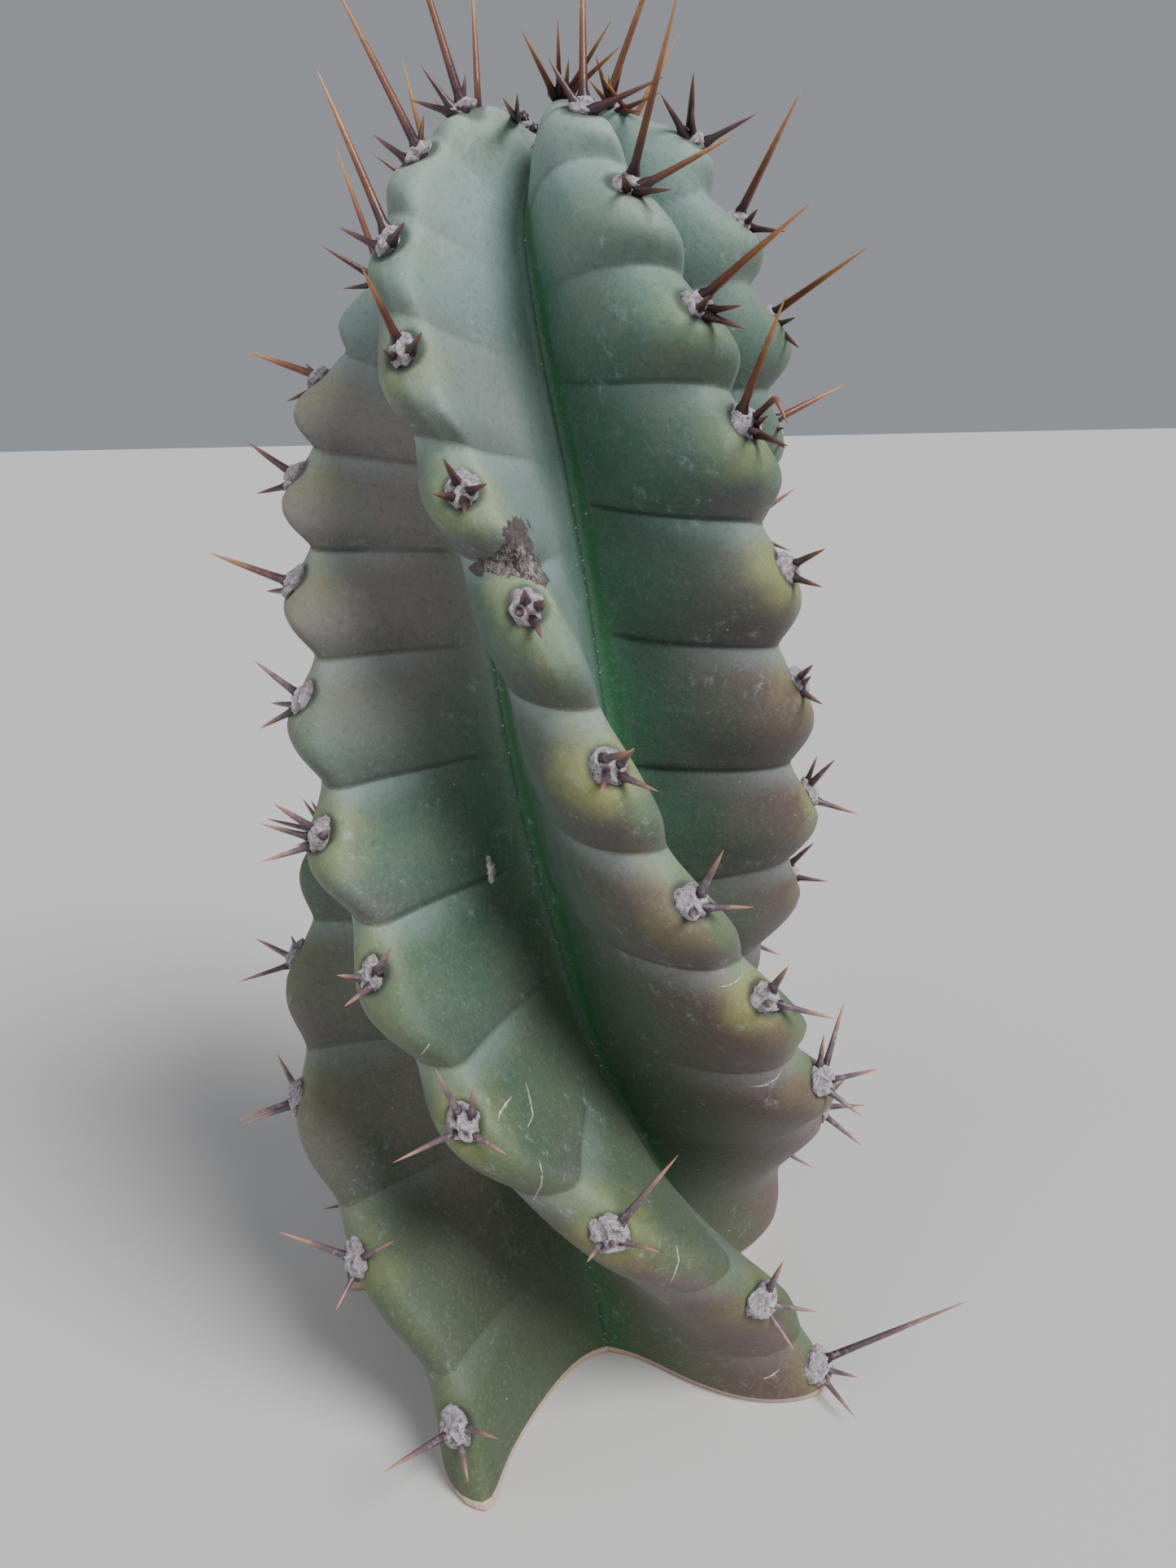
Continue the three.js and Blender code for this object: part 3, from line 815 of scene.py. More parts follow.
def store(mesh: bpy.types.Mesh, **layers: Array) -> None:
    """Keep numbers for each point of a mesh, each layer under its name."""
    for name, values in layers.items():
        layer = mesh.attributes.get(name) or mesh.attributes.new(name, "FLOAT", "POINT")
        layer.data.foreach_set("value", np.asarray(values, np.float32).ravel())


def copy_of(master: Thing) -> Thing:
    """A copy of an object with its own mesh."""
    twin = master.copy()
    twin.data = master.data.copy()
    bpy.context.scene.collection.objects.link(twin)
    return twin


def joined(copies: list[Thing], name: str, finish: bpy.types.Material) -> Thing:
    """Join copies into one named piece with its finish."""
    select_none()
    for item in copies:
        item.select_set(True)
    bpy.context.view_layer.objects.active = copies[0]
    bpy.ops.object.join()
    piece = named(bpy.context.object, name)
    piece.data.materials.append(finish)
    return piece


def removed(piece: Thing) -> None:
    """Take a master object and its mesh out of the file."""
    mesh = piece.data
    bpy.data.objects.remove(piece)
    bpy.data.meshes.remove(mesh)


def hand_over(piece: Thing) -> None:
    """Tie a finished piece to the frame and report it."""
    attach(piece, BODY)
    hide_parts(STEM_NODE)
    log.info("%s: %d faces", piece.name, len(piece.data.polygons))


def turned_outwards() -> None:
    """Turn all faces of the mesh in edit mode outwards, leave edit mode and smooth it."""
    bpy.ops.mesh.select_all(action="SELECT")
    bpy.ops.mesh.normals_make_consistent(inside=False)
    bpy.ops.object.mode_set(mode="OBJECT")
    bpy.ops.object.shade_smooth()


def drawn_tube(name: str, sides: int, rings: Table) -> Thing:
    """A closed tube, drawn out upwards ring by ring from a disc.

    Args:
        name: its name.
        sides: how many sides it has.
        rings: the height and the radius of each ring. A last radius of 0 closes it in a point.

    Returns:
        The tube.
    """
    select_none()
    bpy.ops.mesh.primitive_circle_add(vertices=sides, radius=rings[0][1], fill_type="NGON")
    bpy.ops.object.mode_set(mode="EDIT")
    bpy.ops.mesh.select_all(action="SELECT")
    for (low, wide), (high, slim) in zip(rings, rings[1:]):
        shrink = max(slim, LEAST_RADIUS) / wide
        bpy.ops.mesh.extrude_region_move(TRANSFORM_OT_translate={"value": (0, 0, high - low)})
        bpy.ops.transform.resize(value=(shrink, shrink, 1), center_override=(0, 0, high))
    if rings[-1][1] == 0:
        bpy.ops.mesh.merge(type="CENTER")
    turned_outwards()
    return named(bpy.context.object, name)


@dataclass(frozen=True)
class Mark:
    """A mark on the skin that the photo shows: its line and half width in the photo's pixels."""

    line: Table
    wide: float


@dataclass(frozen=True)
class Fold:
    """How the creases of one flank look: strength of their line and lip, and how far in they run."""

    rib: int
    flank: Flank
    line: float
    lip: float
    end: float


@dataclass
class Stem:
    """The skin of the stem as one closed mesh, from the cut to the growing tip."""

    form: StemForm
    camera: PhotoCamera
    ring_step: float = 0.5
    top_ring_step: float = 0.34
    top_rings_from: float = 194
    columns: int = 19
    samples: int = 90
    crest_crowding: float = 0.25
    crease_fade: Numbers = (0.7, 1)
    foot_rows_level: float = 25
    top_rows_level: Numbers = (192, 208)
    folds: tuple[Fold, ...] = (
        Fold(0, Flank.AFTER, 0.4, 0.30, 0.70), Fold(0, Flank.BEFORE, 0.4, 0.35, 0.75),
        Fold(1, Flank.AFTER, 0.9, 0.22, 0.76), Fold(1, Flank.BEFORE, 0.5, 0.40, 0.75),
        Fold(2, Flank.AFTER, 0.15, 0.18, 0.60), Fold(2, Flank.BEFORE, 0.4, 0.30, 0.60),
        Fold(3, Flank.AFTER, 0.5, 0.40, 0.75), Fold(3, Flank.BEFORE, 1.0, 0.60, 0.82),
        Fold(4, Flank.AFTER, 0.5, 0.50, 0.75), Fold(4, Flank.BEFORE, 0.5, 0.40, 0.75),
    )
    fold_seeds: Numbers = (1.7, 4.1, 2.3)
    end_wander: float = 0.07
    line_wander: float = 0.2
    lip_wander: float = 0.15
    fold_fade: float = 0.16
    line_start: Numbers = (0.04, 0.16)
    line_at_crest: float = 0.25
    lip_waist: Numbers = (0.05, 0.5)
    lip_at_crest: float = 0.35
    calm_folds: float = 72
    foot_calm: float = 0.95
    top_folds: Numbers = (150, 185)
    top_calm: float = 0.75
    groove_depth: float = 0.32
    groove_width: float = 0.6
    groove_power: float = 1.4
    lip_rise: float = 0.6
    lip_reach: float = 4.5
    ledge_drop: float = 0.45
    ledge_reach: float = 3
    edge_half: float = 0.45
    valley_fade: Numbers = (1, 8)
    lump: float = 0.3
    lump_size: float = 16
    lump_waves: Numbers = (3.1, 1.7, 2.7, 1.3, 2.3, 1.1)
    socket_squeeze: Numbers = (0.9, 1.0, 1.0)
    socket_hills: Table = ((-0.4, 0, 2.8), (0.15, 4.4, 1.5))
    far_away: float = 99
    top_fade: Numbers = (196, 203)
    top_calmed: float = 0.6
    foot_fade: Numbers = (0.5, 6)
    tip_fade: Numbers = (8, 2)
    ripple: float = 0.22
    ripple_waves: Numbers = (5.2, 2.9, 6.1)
    ripple_from: Numbers = (0.2, 0.5)
    foot_level: float = 0.9
    weld: float = 1e-6
    cut_rows: Table = ((3.4, 0.9), (2.0, 0.0), (0.8, 0.0), (0.25, 0.2), (0.10, 0.55))
    scar_rib: int = 2
    scar_cushion: int = 6
    scar_reach: Numbers = (25, 14)
    scar: tuple[Mark, ...] = (
        Mark(((636, 650), (632, 672), (624, 690)), 20), Mark(((638, 660), (645, 680), (652, 695)), 16),
        Mark(((606, 695), (624, 698), (642, 700)), 15), Mark(((640, 700), (655, 706), (667, 713)), 11),
        Mark(((584, 699), (600, 693)), 11),
    )
    scar_pale: tuple[Mark, ...] = (Mark(((612, 700), (634, 684), (655, 704)), 24),)
    finishes: tuple[Finish, ...] = (SkinFinish(), CutFinish())
    skin_slot: int = 0
    cut_slot: int = 1

    def rows(self) -> Array:
        """Distances up the crests of the rings of points."""
        lower = np.arange(0, self.top_rings_from, self.ring_step)
        upper = np.arange(self.top_rings_from, self.form.crest_end, self.top_ring_step)
        return np.array([*lower, *upper, self.form.crest_end])

    def flank_points(self, index: int, flank: Flank, rows: Array) -> Grid:
        """Evenly spread points on one flank of a rib, in rings that bend along its creases.

        Args:
            index: the rib.
            flank: the rib's flank.
            rows: distances up the crest of the rings.

        Returns:
            Arrays by name, with a row for each ring and a column for each point from crest to valley.
        """
        form, rib = self.form, self.form.ribs[index]
        across, level = np.meshgrid(np.linspace(0, 1, self.samples), rows)
        fade = (1 - smoothstep(across, *self.crease_fade)) * smoothstep(level, 0, self.foot_rows_level)
        fade = fade * (1 - smoothstep(level, *self.top_rows_level))
        place = level - form.crease_shift(index, flank, across, level) * fade
        points = form.skin(index, flank, across, place)
        run = np.cumsum(np.linalg.norm(np.diff(points, axis=1, prepend=points[:, :1]), axis=2), axis=1)
        creased = place + form.crease_shift(index, flank, across, place)
        notches = form.notches(rib)
        notch = notches[np.argmin(np.abs(creased[..., None] - notches), axis=-1)]
        even = np.linspace(0, 1, self.columns + 1)
        wanted = run[:, -1:] * (even * (1 - self.crest_crowding) + even**2 * self.crest_crowding)
        sampled = {
            "x": points[..., 0], "y": points[..., 1], "z": points[..., 2], "crease_mm": creased - notch,
            "across": across, "notch": notch, "phase": form.phase(rib, creased), "place": place,
        }
        spread = {name: np.array([np.interp(*row) for row in zip(wanted, run, values)])
                  for name, values in sampled.items()}
        spread["points"] = np.stack([spread.pop(axis) for axis in "xyz"], axis=-1)
        return {**spread, "crest_mm": wanted, "valley_mm": run[:, -1:] - wanted}

    def grid(self) -> Grid:
        """All rings of points going round the stem once, as from flank_points, with rib and side added."""
        rows = self.rows()
        parts: dict[str, list[Array]] = {}
        for index in range(len(self.form.ribs)):
            for flank, columns in ((Flank.BEFORE, slice(-2, 0, -1)), (Flank.AFTER, slice(None))):
                flank_points = self.flank_points(index, flank, rows)
                here = {name: values[:, columns] for name, values in flank_points.items()}
                here["rib"] = np.full(here["place"].shape, float(index))
                here["side"] = np.full(here["place"].shape, float(flank.value))
                for name, values in here.items():
                    parts.setdefault(name, []).append(values)
        return {name: np.concatenate(values, axis=1) for name, values in parts.items()}

    def crease_shares(self, grid: Grid) -> tuple[Array, Array, Array]:
        """How strong the crease's line and lip are at each point, and how much of it is left there."""
        across, notch = grid["across"], grid["notch"]
        seed = sum(grid[name] * pace for name, pace in zip(("notch", "rib", "side"), self.fold_seeds))
        seed = np.sin(seed)
        line, lip = np.zeros(seed.shape), np.zeros(seed.shape)
        lines = self.line_at_crest + (1 - self.line_at_crest) * smoothstep(across, *self.line_start)
        lines = lines * (1 - self.line_wander * (1 - seed))
        lips = self.lip_at_crest + (1 - self.lip_at_crest) * smoothstep(across, *self.lip_waist)
        lips = lips * (1 - self.lip_wander * (1 - seed))
        for fold in self.folds:
            here = (grid["rib"] == fold.rib) & (grid["side"] == fold.flank.value)
            end = fold.end + self.end_wander * seed
            inward = 1 - smoothstep(across, end - self.fold_fade, end)
            line = np.where(here, fold.line * inward * lines, line)
            lip = np.where(here, fold.lip * inward * lips, lip)
        foot = np.array([rib.foot_notch for rib in self.form.ribs])[grid["rib"].astype(int)]
        calm = 1 - self.foot_calm * (1 - foot) * np.exp(-((notch / self.calm_folds) ** 2))
        calm = calm * (1 - self.top_calm * smoothstep(notch, *self.top_folds))
        return line * calm, lip * calm, calm

    def relief(self, grid: Grid, line: Array, lip: Array) -> Array:
        """Fine relief of the skin.

        Args:
            grid: the rings of points.
            line: how strong the crease's line is at each point.
            lip: how strong its lip is.

        Returns:
            Millimetres out of the surface for each point.
        """
        crease = grid["crease_mm"]
        groove = -self.groove_depth * np.exp(-np.abs(crease / self.groove_width) ** self.groove_power)
        overhang = self.lip_rise * np.exp(-np.maximum(crease, 0) / self.lip_reach)
        ledge = -self.ledge_drop * np.exp(np.minimum(crease, 0) / self.ledge_reach)
        step = smoothstep(crease, -self.edge_half, self.edge_half)
        x, y, z = np.moveaxis(grid["points"] / self.lump_size, 2, 0)
        a, b, c, d, e, f = self.lump_waves
        lumps = np.sin(x * a + z * b) * np.sin(y * c + d) * np.sin(z * e + x * f + grid["rib"])
        folded = groove * line + (overhang * step + ledge * (1 - step)) * lip
        return (folded + self.lump * lumps) * smoothstep(grid["valley_mm"], *self.valley_fade)

    def around_cushions(self, points: Array) -> tuple[Array, Array]:
        """Distance of each point to the nearest cushion, and the relief of the socket that it sits in."""
        nearest = np.full(points.shape[:2], self.far_away)
        for index, rib in enumerate(self.form.ribs):
            for place in rib.cushions:
                here = self.form.seat_at(index, place)
                local = (points - here.origin) @ here.matrix() / np.array(self.socket_squeeze)
                nearest = np.minimum(nearest, np.linalg.norm(local, axis=-1))
        return nearest, sum(height * hill(nearest, *place) for height, *place in self.socket_hills)

    def scar_share(self, marks: tuple[Mark, ...], grid: Grid) -> Array:
        """How deep each point lies in a scar, from 0 at its edge to 1 in its middle."""
        pixels, _ = self.camera.pixel_of(grid["points"])
        shares = [1 - off_line(np.array(mark.line, float), pixels) / mark.wide for mark in marks]
        middle = self.form.ribs[self.scar_rib].cushions[self.scar_cushion]
        here = (grid["rib"] == self.scar_rib) & (np.abs(grid["place"] - middle) < self.scar_reach[0])
        here &= grid["crest_mm"] < self.scar_reach[1]
        return np.clip(np.max(shares, axis=0), 0, 1) * here

    def cut_rings(self, outline: Array) -> Array:
        """Rings of points just inside the foot's outline, from the innermost out."""
        ahead = np.roll(outline, -1, axis=0) - np.roll(outline, 1, axis=0)
        inward = unit(np.stack([-ahead[:, 1], ahead[:, 0], 0 * ahead[:, 0]], axis=-1))
        rings = np.array([outline + inward * inset for inset, _ in self.cut_rows])
        rings[..., 2] = np.array(self.cut_rows)[:, 1:]
        return rings

    def build(self) -> Thing:
        """Grow the skin over the form and close it at the tip and over the cut."""
        grid = self.grid()
        line, lip, calm = self.crease_shares(grid)
        points = grid["points"]
        x, z = points[..., 0], points[..., 2]
        nearest, socket = self.around_cushions(points)
        scar, pale = (self.scar_share(marks, grid) for marks in (self.scar, self.scar_pale))
        relief = self.relief(grid, line, lip) + socket
        relief = relief * (1 - smoothstep(z, *self.top_fade) * self.top_calmed)
        relief = relief * smoothstep(z, *self.foot_fade)
        a, b, c = self.ripple_waves
        ripple = self.ripple * np.sin(x * a + z * b) * np.sin(z * c)
        relief = relief + ripple * smoothstep(scar, *self.ripple_from)
        relief = relief * (1 - smoothstep(grid["crest_mm"] + grid["valley_mm"], *self.tip_fade))
        round_it = np.roll(points, -1, axis=1) - np.roll(points, 1, axis=1)
        points = points + unit(np.cross(round_it, np.gradient(points, axis=0))) * relief[..., None]
        points[0, :, 2] = 0
        keep = int(np.searchsorted(self.rows(), self.foot_level)) + 1
        stacked = np.concatenate([self.cut_rings(points[0]), points[keep:]])
        count, around = stacked.shape[:2]
        log.info("stem rings: %d of %d points", count, around)

        select_none()
        bpy.ops.mesh.primitive_grid_add(x_subdivisions=around, y_subdivisions=count - 1, size=1)
        stem = named(bpy.context.object, "stem_skin")
        flat = points_of(stem.data)
        column = np.rint((flat[:, 0] + 0.5) * around).astype(int) % around
        row = np.rint((flat[:, 1] + 0.5) * (count - 1)).astype(int)
        move_points(stem.data, stacked[row, column])
        layers = {name: grid[name] for name in ("phase", "valley_mm", "crest_mm", "side")}
        layers.update(crease_mm=np.abs(grid["crease_mm"]), cushion_mm=nearest, crease_line=line, scar=scar,
                      scar_pale=pale, calm=calm)
        extra = len(self.cut_rows)
        rows = np.maximum(row - extra, 0) + keep
        store(stem.data, **{name: values[rows, column] for name, values in layers.items()})
        insets = [inset for inset, _ in self.cut_rows]
        store(stem.data, edge_mm=np.array([*insets, *np.zeros(count - extra)])[row])
        for finish in self.finishes:
            stem.data.materials.append(finish.material())
        for face in stem.data.polygons:
            on_cut = max(row[v] for v in face.vertices) <= extra
            face.material_index = self.cut_slot if on_cut else self.skin_slot
        self.close(stem)
        return stem

    def close(self, stem: Thing) -> None:
        """Weld the seam and the tip, fill the cut and turn the faces outwards."""
        bpy.ops.object.mode_set(mode="EDIT")
        bpy.ops.mesh.select_all(action="SELECT")
        bpy.ops.mesh.remove_doubles(threshold=self.weld)
        bpy.ops.mesh.select_all(action="DESELECT")
        bpy.ops.mesh.select_mode(type="EDGE")
        bpy.ops.mesh.select_non_manifold()
        stem.active_material_index = self.cut_slot
        bpy.ops.mesh.fill(use_beauty=True)
        bpy.ops.object.material_slot_assign()
        turned_outwards()
        for face in stem.data.polygons:
            face.use_smooth = face.material_index == self.skin_slot


@dataclass(frozen=True)
class Spine:
    """A spine by rule: its tilt up the crest and sideways in degrees, its length and its base radius."""

    up: float
    side: float
    length: float
    radius: float


@dataclass(frozen=True)
class Thorn:
    """A spine ready to grow: the points that it runs through, its base radius, its age and its gold."""

    path: Array
    radius: float
    age: float
    gold: float = 0.0


@dataclass
class SeenSpines:
    """Spines that show in the photo.

    Each is given in the photo's pixels from the middle of its cushion: where it leaves the felt,
    its elbow if it has one, and its tip. The keys are the rib and the cushion.
    """

    camera: PhotoCamera
    spines: dict[tuple[int, int], Table] = field(default_factory=lambda: {
        (0, 0): ((-8, 9, -88, 53), (5, 17, 15, 70), (9, 1, 52, 14)),
        (0, 1): ((-13, 3, -95, -34), (5, 2, 46, -20), (0, 17, -26, 66)),
        (0, 2): ((-1, -2, -28, -50), (-8, 5, -75, 28), (-10, 15, -70, 35)),
        (0, 3): ((-4, 6, -53, -22), (1, -2, -9, -25), (-9, 18, -74, 34)),
        (1, 0): ((5, -8, 187, -81), (12, 3, 50, 14), (7, 15, 47, 64)),
        (1, 1): ((8, -8, 28, -48), (15, 8, 72, 15), (10, 17, 41, 62)),
        (1, 2): ((8, -6, 84, -98), (17, 13, 62, 23), (2, 10, 7, 19), (-19, 20, -28, 37)),
        (1, 3): ((-4, -7, -36, -62), (11, -5, 12, -44), (-4, 10, -88, 51), (10, 15, 54, 42)),
        (1, 4): ((8, -1, 24, -35), (-9, 7, -43, 0), (0, 17, -34, 41)),
        (1, 5): ((-6, -4, -58, -38), (-12, 8, -75, -12), (4, 4, 11, -6), (-9, 17, -73, 36)),
        (1, 6): ((-2, -1, -62, -45), (-12, 9, -40, 5), (-8, 13, -55, 37)),
        (1, 7): ((-4, 2, -108, -35), (-10, 13, -36, 12)),
        (1, 8): ((-1, 1, -62, -40), (-8, 13, -50, 22)),
        (1, 9): ((8, -2, -92, -38), (3, 2, -17, -20), (-4, 18, -40, 26)),
        (2, 2): ((4, -5, 30, -98), (-2, -12, 5, -57), (12, 3, 75, -13), (7, 13, 53, 45)),
        (2, 3): ((9, -10, 30, -38), (14, 8, 88, 27), (3, 6, 8, 12)),
        (2, 4): ((10, -7, 41, -63), (18, 8, 78, 8), (2, 12, 4, 22)),
        (2, 5): ((-7, -9, 24, -14, 34, -20), (14, 0, 33, -22), (0, 8, -9, 34), (17, 14, 63, 33)),
        (2, 6): ((0, -5, -3, -22), (15, 0, 22, -10), (-7, 7, -12, 8), (8, 14, 20, 40)),
        (2, 7): ((-4, -5, -24, -36), (8, 4, 31, -7), (-8, 11, -37, 5), (4, 15, 2, 33)),
        (2, 8): ((-5, -8, -54, -107), (9, 1, 22, -22), (-13, 9, -26, -1)),
        (2, 9): ((-3, -10, -88, -221), (5, 3, 20, -26), (-9, 9, -62, -19)),
        (2, 10): ((-4, -8, -108, -230), (-2, 1, 7, -50), (-17, 6, -56, -23)),
        (2, 11): ((-1, -5, -79, -276), (-2, -1, 3, -45), (-18, 2, -52, -58), (-20, 4, -64, -13)),
        (3, 3): ((1, -8, 31, -36), (5, 7, 48, 12)),
        (3, 4): ((0, -6, 34, -42), (2, -13, 12, -46), (6, 8, 62, 28)),
        (3, 5): ((2, -4, 20, -22), (5, 5, 17, -6), (2, 12, 32, 29)),
        (3, 6): ((8, -4, 50, -27), (6, 10, 45, 24)),
        (3, 7): ((-5, -11, 54, -165), (9, -3, 40, -33, 56, 0), (15, 3, 30, -8), (7, 9, 20, 8),
                 (16, 17, 56, 27)),
        (3, 8): ((8, -10, 144, -133), (3, 6, 18, -16), (23, 9, 56, 1), (15, 17, 63, 27)),
        (3, 9): ((8, -12, 66, -250), (1, 6, -5, -17), (20, 3, 139, -62), (17, 13, 56, 6)),
        (3, 10): ((-1, -10, -3, -221), (-6, 0, -45, -62), (9, 5, 101, -40)),
        (4, 8): ((3, -13, 90, -56), (0, 2, 14, 2), (0, 12, 16, 27)),
        (4, 9): ((3, -2, 125, -88), (9, 12, 33, 2), (10, 22, 38, 40)),
        (4, 10): ((2, -6, 78, -163), (11, 3, 25, -15), (17, 10, 60, 12)),
        (4, 11): ((-2, -5, 2, -82), (2, 0, 0, -38), (17, 8, 80, -32), (-24, 4, -38, -57)),
        (2, 12): ((8, 4, -9, -24), (12, 0, 10, -30)),
        (3, 11): ((-16, -16, -51, -96), (-6, -18, -6, -104), (6, -18, 8, -57), (9, -19, 62, -104),
                  (10, -16, 73, -71)),
        (4, 12): ((-28, -10, -32, -70), (-24, -10, 2, -57), (-22, -15, -16, -45), (-33, -4, -41, -38),
                  (-8, 12, 49, -22), (-4, 15, 26, 2), (20, 20, -25, -42)),
    })
    first_lengths: dict[tuple[int, int], float] = field(default_factory=lambda: {
        (0, 0): 19, (0, 1): 14, (0, 2): 13, (0, 3): 15, (1, 0): 30, (1, 2): 16, (1, 3): 15, (1, 7): 14,
        (1, 9): 15, (2, 8): 13, (2, 9): 23, (2, 10): 28, (2, 11): 33, (3, 7): 20, (3, 8): 23, (3, 9): 26,
        (3, 10): 24, (3, 11): 12, (4, 8): 16, (4, 9): 20, (4, 10): 20,
    })
    usual_first: float = 10
    usual: float = 7.5
    later_radius: float = 0.86
    pad_reach: float = 1.7
    pad_give: float = 4
    stretches: Numbers = (1, 1.12, 1.25, 1.4, 1.6)
    least_out: float = 0.12
    usual_lean: float = 0.3
    floor_gap: float = 0.5
    elbow_forward: float = 1

    def root(self, here: Seat, offset: Array) -> Array:
        """The place on a cushion that shows at an offset in pixels from its middle."""
        middle, _ = self.camera.pixel_of(here.origin)
        columns = [self.camera.pixel_of(here.origin + way)[0] - middle for way in (here.across, here.along)]
        spread = np.stack(columns, axis=-1)
        shares = np.linalg.solve(spread.T @ spread + self.pad_give * np.eye(2), spread.T @ offset)
        shares *= min(1.0, self.pad_reach / max(float(np.hypot(*shares)), LEAST_LENGTH))
        return here.origin + here.across * shares[0] + here.along * shares[1]

    def tip(self, here: Seat, root: Array, pixel: Array, usual: float) -> Array:
        """The end of a spine that shows in a pixel: of the two at its length, the one that leans as usual.

        Args:
            here: where its cushion sits.
            root: where the spine starts.
            pixel: the pixel of its tip.
            usual: the length that such a spine usually has.

        Returns:
            The tip.
        """
        eye = np.array(self.camera.place)
        way = unit(self.camera.point_at(pixel, 1.0) - eye)
        middle = float((root - eye) @ way)
        off = float(np.linalg.norm(eye + way * middle - root))
        leaning = unit(here.out + self.usual_lean * here.along)
        for stretch in self.stretches:
            swing = math.sqrt(max(usual * stretch, off) ** 2 - off**2)
            ends = (eye + way * (middle + swing), eye + way * (middle - swing))
            end = max(ends, key=lambda point: unit(point - root) @ leaning)
            if unit(end - root) @ here.out > self.least_out and end[2] > self.floor_gap:
                break
        return end

    def thorns(self, key: tuple[int, int], here: Seat, radius: float, age: float,
               gold: float = 0.0) -> list[Thorn]:
        """The spines that show on one cushion.

        Args:
            key: the rib and the cushion.
            here: where the cushion sits.
            radius: base radius of the first spine.
            age: the cushion's age.
            gold: how golden its short spines are.

        Returns:
            The spines, or none where the photo doesn't show them.
        """
        middle, _ = self.camera.pixel_of(here.origin)
        grown = []
        for count, seen in enumerate(self.spines.get(key, ())):
            pixels = np.array(seen, float).reshape(-1, 2)
            root = self.root(here, pixels[0])
            usual = self.usual if count else self.first_lengths.get(key, self.usual_first)
            ends = [self.tip(here, root, middle + pixel, usual) for pixel in pixels[1:]]
            if len(ends) > 1:
                depth = self.camera.pixel_of(ends[0])[1] - self.elbow_forward
                ends[-1] = self.camera.point_at(middle + pixels[-1], depth)
            slim = self.later_radius if count else 1
            grown.append(Thorn(np.array([root, *ends]), radius * slim, age, gold))
        return grown


